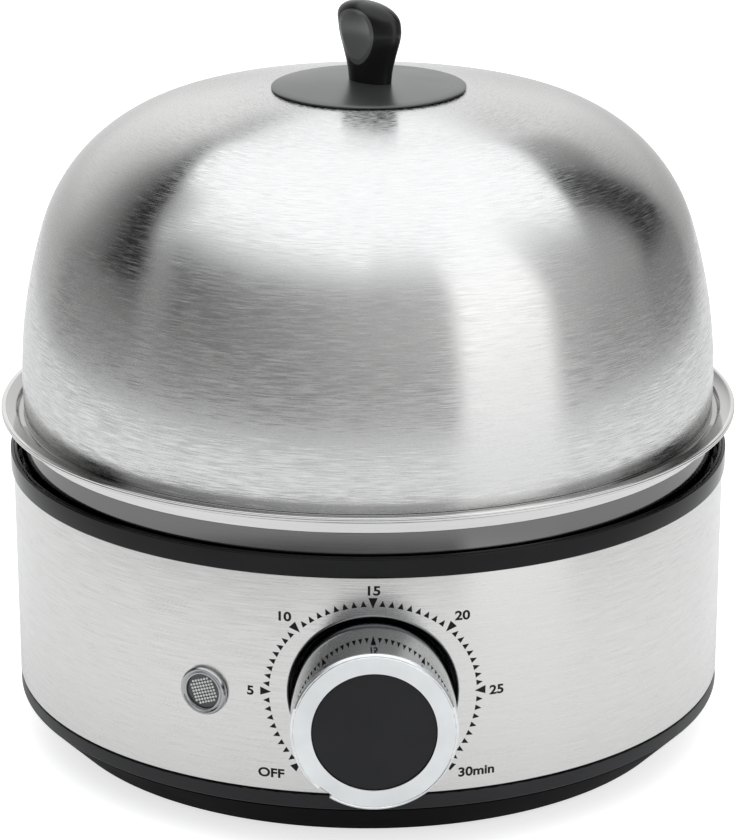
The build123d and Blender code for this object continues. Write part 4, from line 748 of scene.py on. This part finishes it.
base = {                     # slot, finish, the node that it replaces, profile
    # The belt and skirt are one plastic; their two finishes paint light on the belt and shade on the skirt
    "housingBelt": ("housing_plastic", "beltBlack", None, [
        (92.2, 16.15, 0.2), (92.25, 12.2, 0.5), (91.4, 11.75), (90.1, 11.75), (91.7, 15.6), (91.8, 16.15),
    ]),
    "housingSkirt": ("housing_plastic", "housingBlack", None, [
        (91.4, 11.75), (91.3, 11.35, 0.2), (82.4, 2.5, 0.8), (80.8, 1.75, 0.3), (79.4, 2.0), (86.1, 8.95),
        (87.0, 9.05), (90.1, 11.75),
    ]),
    "collarRing": ("collar_plastic", "collarBlack", "top_collar", [
        (91.45, 66.0), (91.45, 72.1), (93.0, 72.1, 0.2), (93.0, 77.1, 0.6), (92.2, 77.1), (92.1, 76.8),
        (92.0, 77.1), (91.2, 77.1, 0.4), (91.2, 73.5), (90.05, 72.1), (90.05, 69.0), (81.95, 69.0),
        (81.95, 66.0),
    ]),
    "panShell": ("pan_steel", "panSteel", "heating_pan", [
        (0, 60.5), (46.0, 60.5, 0.8), (46.0, 62.0, 0.6), (80.4, 62.0, 1.6), (80.4, 69.0, 0.6),
        (89.4, 69.0, 0.8), (89.4, 76.0, 0.2), (90.1, 76.6, 0.2), (89.0, 82.35, 0.1), (90.2, 82.45, 0.25),
        (90.5, 85.5, 0.6), (92.2, 86.4, 0.6), (94.3, 86.7, 0.2), (95.0, 86.75, 0.3), (95.0, 87.3, 0.12),
        (94.78, 87.38), (95.0, 87.46, 0.12), (95.0, 88.0, 0.3), (94.2, 88.0, 0.25), (91.2, 87.3, 0.4),
        (90.6, 86.0, 0.4), (89.2, 86.0, 0.2), (89.2, 86.7, 0.2), (88.4, 86.7, 0.2), (88.4, 78.0, 0.5),
        (88.6, 77.0, 0.5), (88.6, 69.8, 1.0), (79.6, 69.8, 0.8), (79.6, 62.8, 1.6), (45.2, 62.8, 0.8),
        (45.2, 61.3, 0.6), (0, 61.3),
    ]),
}


def buildBase(pieces):
    for name, (slotName, finish, node, profile) in pieces.items():
        turnedPiece(name, profile, "base", slotName, finish, *([node] if node else []))


buildBase(base)
print("skirt, collar and pan made")


# Knob

knob = {
    "front": 113.8,          # mm in front of the axis of the body
    "radius": 19.6,
    "wall": 1.2,
    "skirtFront": 97.2,      # where the black skirt under the sleeve begins
    "skirtRadius": 19.4,
    "sleeveBack": 91.6,
    "plateRadius": 19.7,
    "plate": 1.0,            # its thickness
    "plateEdge": 0.4,
    "groove": (19.0, 0.14, 0.12),    # radius, half width and depth of the line round the plate
    "hole": 14.72,
    "discGap": 0.1,
    "discFront": 0.3,        # mm behind the plate's front
    "discBack": 1.7,
    "notchAngle": 232.5,
    "notchWidth": 3.6,
    "notchDepth": 1.1,
    "notchLength": 2.5,
}


def buildKnob(values):
    place = facing((0, -1, 0), (0, 0, dialHeight))
    front, outer, hole, wall = values["front"], values["radius"], values["hole"], values["wall"]
    groove, half, sunk = values["groove"]
    wide, edge, skirt = values["plateRadius"], values["plateEdge"], values["skirtRadius"]
    back, sleeveBack, skirtFront = front - values["plate"], values["sleeveBack"], values["skirtFront"]
    ring = [
        (hole, front, 0.15), (groove - half, front), (groove, front - sunk), (groove + half, front),
        (wide - edge, front), (wide, front - edge, 0.2), (wide, back, 0.1), (outer, back), (hole, back),
    ]
    sleeve = [
        (outer, back), (outer, sleeveBack, 0.08), (skirt, sleeveBack), (skirt, skirtFront),
        (outer - wall, skirtFront), (outer - wall, back),
    ]
    angle = math.radians(values["notchAngle"])
    sizes = (2 * values["notchDepth"], values["notchWidth"], 2 * values["notchLength"])
    size = Matrix.Diagonal((*(value * mm for value in sizes), 1))
    spot = Matrix.Rotation(angle, 4, "Z") @ Matrix.Translation(Vector((outer, 0, front)) * mm)
    # The sleeve takes the darker copy of the chrome, which is painted shade
    for name, profile, finish in (("knobPlate", ring, "knobChrome"), ("knobSleeve", sleeve, "sleeveChrome")):
        piece = newObject(name, spin(bmesh.new(), softProfile(profile, 4), 240, place))
        block = bmesh.new()
        bmesh.ops.create_cube(block, size=1.0)
        bmesh.ops.transform(block, matrix=place @ spot @ size, verts=block.verts)
        carve(piece, block)
        finishPiece(piece, "knob", "knob_chrome", finish, "knob_ring")
    inner = hole - values["discGap"]
    discFront, discBack = front - values["discFront"], front - values["discBack"]
    face = [(0, discFront), (inner, discFront, 0.3), (inner, discBack), (0, discBack)]
    turnedPiece("knobDisc", face, "knob", "knob_disc", "knobBlack", "knob_face", segments=160, place=place)


buildKnob(knob)
print("knob made")


# Pilot lamp

lamp = {
    "bezelRadius": 6.1,
    "front": 93.95,          # mm from the axis of the body
    "seat": 92.35,
    "bead": (                # mm in from the bezel's edge, mm behind its front, rounding
        (0, 0.7, 0.5), (0.55, 0, 0.45), (1.15, 0.55, 0.2), (1.3, 0.3, 0.1),
    ),
    "throat": ((0.1, 0.4, 0.1), (0, 0.8, 0)),    # the same, but mm out from the lens
    "barrel": 5.0,
    "barrelBack": 83.3,
    "bore": 3.7,
    "lensRadius": 4.3,
    "lensGap": 0.05,
    "lensFront": 92.9,
    "lensBack": 91.75,
    "dotFoot": 92.85,
    "dot": ((0, 0.34), (0.16, 0.31), (0.28, 0.20), (0.33, 0.0), (0, 0)),
    "dotPitch": 0.80,
    "dotTurn": 20.0,
    "dotReach": 3.6,
    "dotRows": 10,
}


def buildLamp(values):
    place = facing(lampDirection, (0, 0, lampHeight))
    front, outer, bore = values["front"], values["bezelRadius"], values["bore"]
    barrel, seat, back = values["barrel"], values["seat"], values["barrelBack"]
    radius, lensFront, lensBack = values["lensRadius"], values["lensFront"], values["lensBack"]
    rim = radius + values["lensGap"]
    bead = [(outer - across, front - deep, rounding) for across, deep, rounding in values["bead"]]
    throat = [(rim + across, front - deep, rounding) for across, deep, rounding in values["throat"]]
    corners = [
        (barrel, back), (barrel, seat), (outer, seat, 0.1), *bead, *throat, (rim, lensBack), (bore, lensBack),
        (bore, back),
    ]
    settings = dict(segments=96, place=place)
    turnedPiece("lampBezel", corners, "base", "lamp_chrome", "lampChrome", "indicator_bezel", **settings)
    glass = [(0, lensFront), (radius, lensFront), (radius, lensBack), (0, lensBack)]
    turnedPiece("lampLens", glass, "base", "lens_plastic", "lensSmoke", "indicator_lens", **settings)
    dots = bmesh.new()
    grid = place @ Matrix.Rotation(math.radians(values["dotTurn"]), 4, "Z")
    half = (values["dotRows"] - 1) / 2
    for row in range(values["dotRows"]):
        for column in range(values["dotRows"]):
            x, y = (row - half) * values["dotPitch"], (column - half) * values["dotPitch"]
            if math.hypot(x, y) <= values["dotReach"]:
                spot = Matrix.Translation(Vector((x, y, values["dotFoot"])) * mm)
                spin(dots, values["dot"], 10, grid @ spot)
    finishPiece(newObject("lampWaffle", dots), "base", "lens_plastic", "lensWhite", sharpness=60)


buildLamp(lamp)
print("lamp made")


# Minute scale printed on the band

scale = {
    "labels": (              # text, mm along the band from the knob's axis, mm over it
        ("OFF", -24.9, -21.3), ("5", -29.9, -0.3), ("10", -21.4, 19.6), ("15", 0.0, 26.9),
        ("20", 21.5, 19.6), ("25", 30.3, -0.5), ("30min", 25.3, -21.1),
    ),
    "textSize": (3.75, 3.2),  # mm along and up
    "boldness": 0.03,
    "inkTop": 0.03,          # mm over the band
    "inkFoot": 0.005,
    "marks": (225, 180, 135, 90, 45, 0, -45),
    "markTip": (24.7, 22.5, 24.9),  # mm from the axis to the sides, above and below
    "markLength": 2.7,
    "markWidth": 2.15,
    "smallMarks": 8,         # between two marks
    "smallStart": 0.5,
    "smallLength": 1.6,
    "smallWidth": 1.42,
}


def onBand(across, up, out=0.0):
    radius = band["radius"] + out
    angle = across / band["radius"]
    return Vector((radius * math.sin(angle), -radius * math.cos(angle), dialHeight + up)) * mm


def buildScale(values):
    ink, foot = values["inkTop"], values["inkFoot"]
    marks = bmesh.new()
    for text, across, up in values["labels"]:
        curve = bpy.data.curves.new("label", "FONT")
        curve.body = text
        curve.size = 1.0
        curve.offset = values["boldness"]
        curve.align_x = "CENTER"
        curve.align_y = "CENTER"
        curve.extrude = 0.5
        carrier = bpy.data.objects.new("label", curve)
        bpy.context.scene.collection.objects.link(carrier)
        view = bpy.context.evaluated_depsgraph_get()
        mesh = bpy.data.meshes.new_from_object(carrier.evaluated_get(view))
        size = values["textSize"]
        for vertex in mesh.vertices:
            x, y, z = vertex.co
            vertex.co = onBand(across + x * size[0], up + y * size[1], ink if z > 0 else foot)
        marks.from_mesh(mesh)
        bpy.data.objects.remove(carrier)
        bpy.data.meshes.remove(mesh)
    level, above, below = values["markTip"]

    def triangle(degrees, tip, back, width):
        # From its tip to its back, in mm outwards from where the marks begin
        angle = math.radians(degrees)
        along = Vector((math.cos(angle), math.sin(angle)))
        aside = Vector((-along.y, along.x)) * width / 2
        start = Vector((level * along.x, (above if along.y > 0 else below) * along.y))
        flat = [start + along * tip, start + along * back + aside, start + along * back - aside]
        top = [marks.verts.new(onBand(spot.x, spot.y, ink)) for spot in flat]
        low = [marks.verts.new(onBand(spot.x, spot.y, foot)) for spot in flat]
        marks.faces.new(top)
        marks.faces.new(low[::-1])
        bridge(marks, top, low)

    for degrees in values["marks"]:
        triangle(degrees, 0.0, values["markLength"], values["markWidth"])
    near, spaces = values["smallStart"], values["smallMarks"] + 1
    for first, last in zip(values["marks"], values["marks"][1:]):
        for step in range(1, spaces):
            degrees = first + (last - first) * step / spaces
            triangle(degrees, near + values["smallLength"], near, values["smallWidth"])
    finishPiece(newObject("minuteScale", marks), "base", "knob_disc", "printBlack")


buildScale(scale)
print("scale printed")


# Disc under the grip, bowed like the crown of the lid

disc = {
    "radius": 24.7,
    "shift": 0.35,           # mm off the axis, as it was fitted
    "hole": 2.2,
    "gap": 0.05,
    "thickness": 0.8,
    "edge": 0.8,             # mm at the rim that the rounding takes
    "rise": (0.3, 0.1),      # corners of the rim: how far in from the faces, and how round
    "fall": (0.15, 0.2),
    "steps": 12,
}


def crownHeight(radius, over):
    middle, bend = lid["crown"][:2]
    return math.sqrt((bend + over) ** 2 - radius * radius) + middle[1]


def buildDisc(values):
    hole, edge, low = values["hole"], values["radius"], values["gap"]
    high = low + values["thickness"]
    steps = values["steps"]
    radii = [hole + (edge - values["edge"] - hole) * step / steps for step in range(steps + 1)]
    rise, fall = values["rise"], values["fall"]
    rim = [(edge, low + rise[0], rise[1]), (edge, high - fall[0], fall[1])]
    outline = [(radius, low) for radius in radii] + rim + [(radius, high) for radius in reversed(radii)]
    corners = [(radius, crownHeight(radius, over), *rounding) for radius, over, *rounding in outline]
    settings = dict(segments=200, place=Matrix.Translation(Vector((values["shift"], 0, 0)) * mm))
    turnedPiece("gripDisc", corners, "lid", "disc_plastic", "discBlack", "lid_disc", **settings)


buildDisc(disc)
print("disc made")


# Grip with its thumb dish

grip = {
    "bottom": 171.06,
    "height": 20.2,
    "neck": (12.9, 8.0),
    "widest": (19.9, 10.2),
    "shift": 0.7,            # mm off the axis, as it was fitted
    "swells": ((0.0, 0.0), (0.15, 0.12), (0.33, 0.44), (0.58, 0.92), (0.75, 1.0), (1.0, 1.0)),
    "capStart": 0.72,        # share of the height where the top rounds off
    "capPower": 2.6,         # a higher one makes it squarer
    "capLeast": 0.02,        # smallest ring, as a share
    "lean": 2.0,             # mm that the top leans to the back edge
    "leanStart": 0.58,
    "rings": 56,
    "ringCrowding": 1.6,     # how much closer the rings lie near the top
    "segments": 96,
    "turn": -45.0,
    "dishTurn": -50.0,       # the dish is cut by a ball
    "thumbRadius": 21.0,
    "thumbDistance": 24.6,
    "thumbHeight": 183.0,
    "padThickness": 0.6,
}


def swellAt(swells, share):
    # A smooth curve through the swells
    index = max(i for i in range(len(swells) - 1) if swells[i][0] <= share or i == 0)
    first, last = swells[index], swells[index + 1]
    before = swells[max(index - 1, 0)]
    after = swells[min(index + 2, len(swells) - 1)]
    span = last[0] - first[0]
    t = (share - first[0]) / span
    startSlope = (last[1] - before[1]) / (last[0] - before[0]) * span
    endSlope = (after[1] - first[1]) / (after[0] - first[0]) * span
    rising = 3 * t ** 2 - 2 * t ** 3
    bent = startSlope * t * (1 - t) ** 2 - endSlope * t ** 2 * (1 - t)
    return first[1] * (1 - rising) + last[1] * rising + bent


def pastStart(share, start):
    return max(0.0, (share - start) / (1 - start))


def gripBlank(values):
    sheet = bmesh.new()
    turn = math.radians(values["turn"])
    count, segments = values["rings"], values["segments"]
    rings = []
    for step in range(count + 1):
        share = 1 - (1 - step / count) ** values["ringCrowding"]
        swell = swellAt(values["swells"], share)
        cap = pastStart(share, values["capStart"])
        crown = max(values["capLeast"], math.sqrt(max(0.0, 1 - cap ** values["capPower"])))
        lean = -values["lean"] * pastStart(share, values["leanStart"]) ** 2
        spans = zip(values["neck"], values["widest"])
        width, depth = ((neck + (widest - neck) * swell) / 2 * crown for neck, widest in spans)
        height = values["bottom"] + values["height"] * share
        ring = []
        for spoke in range(segments):
            angle = 2 * math.pi * spoke / segments
            x, y = width * math.cos(angle) + lean, depth * math.sin(angle)
            side = x * math.cos(turn) - y * math.sin(turn) + values["shift"]
            spot = Vector((side, x * math.sin(turn) + y * math.cos(turn), height))
            ring.append(sheet.verts.new(spot * mm))
        rings.append(ring)
    for ring, other in zip(rings, rings[1:]):
        bridge(sheet, ring, other)
    sheet.faces.new(rings[0])
    sheet.faces.new(rings[-1])
    return sheet


def thumbBall(values, radius):
    turn = math.radians(values["dishTurn"])
    distance = values["thumbDistance"]
    side = distance * math.sin(turn) + values["shift"]
    middle = Vector((side, -distance * math.cos(turn), values["thumbHeight"]))
    half = arcPoints((0, 0), radius, -90, 90, 90)
    half[0].x = half[-1].x = 0
    return spin(bmesh.new(), half, 180, Matrix.Translation(middle * mm))


def buildGrip(values):
    front = values["thumbRadius"]
    back = front + values["padThickness"]
    body = newObject("gripBody", gripBlank(values))
    carve(body, thumbBall(values, back))
    finishPiece(body, "lid", "grip_plastic", "glossBlack", "lid_handle", sharpness=38)
    pad = newObject("thumbPad", gripBlank(values))
    carve(pad, thumbBall(values, back), "INTERSECT")
    carve(pad, thumbBall(values, front))
    finishPiece(pad, "lid", "pad_rubber", "padGrey", "thumb_pad", sharpness=38)


buildGrip(grip)
print("grip made")


# The CAD nodes that stay get their finishes

nodeFinishes = {
    "satinBlack": "dial_cup cord_gland gland_nut",
    "housingBlack": "lower_housing bottom_cover",
    "knobBlack": "knob_core",
    "rubber": "foot_ring",
    "rackAluminium": "egg_rack",
    "plainSteel": "rack_handle_left rack_handle_right handle_washer handle_screw pan_studs timer_bracket"
                  " timer_pillars timer_back_plate timer_shaft fuse_clip lamp_clip bell_post striker_pin"
                  " bell_striker timer_bell",
    "darkSteel": "cover_screws clamp_screws heater_screws bracket_screws timer_screws heating_element",
    "plateAluminium": "heater_plate spring_barrel",
    "brass": "timer_cam main_wheel governor_pinion governor_wheel switch_contacts",
    "springSteel": "mainspring",
    "ceramic": "thermal_fuse terminal_block neon_lamp",
    "paleResin": "thermostat switch_block",
    "sleeving": "supply_lead heater_lead switch_lead return_lead lamp_lead_left lamp_lead_right",
}


def paintNodes(plan):
    painted = set()
    for finish, nodes in plan.items():
        for name in nodes.split():
            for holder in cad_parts[name].material_slots:
                holder.material = finishes[finish]
            painted.add(name)
    left = [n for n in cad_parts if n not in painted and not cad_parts[n].hide_render]
    print("nodes painted:", len(painted), "left plain:", left)


paintNodes(nodeFinishes)
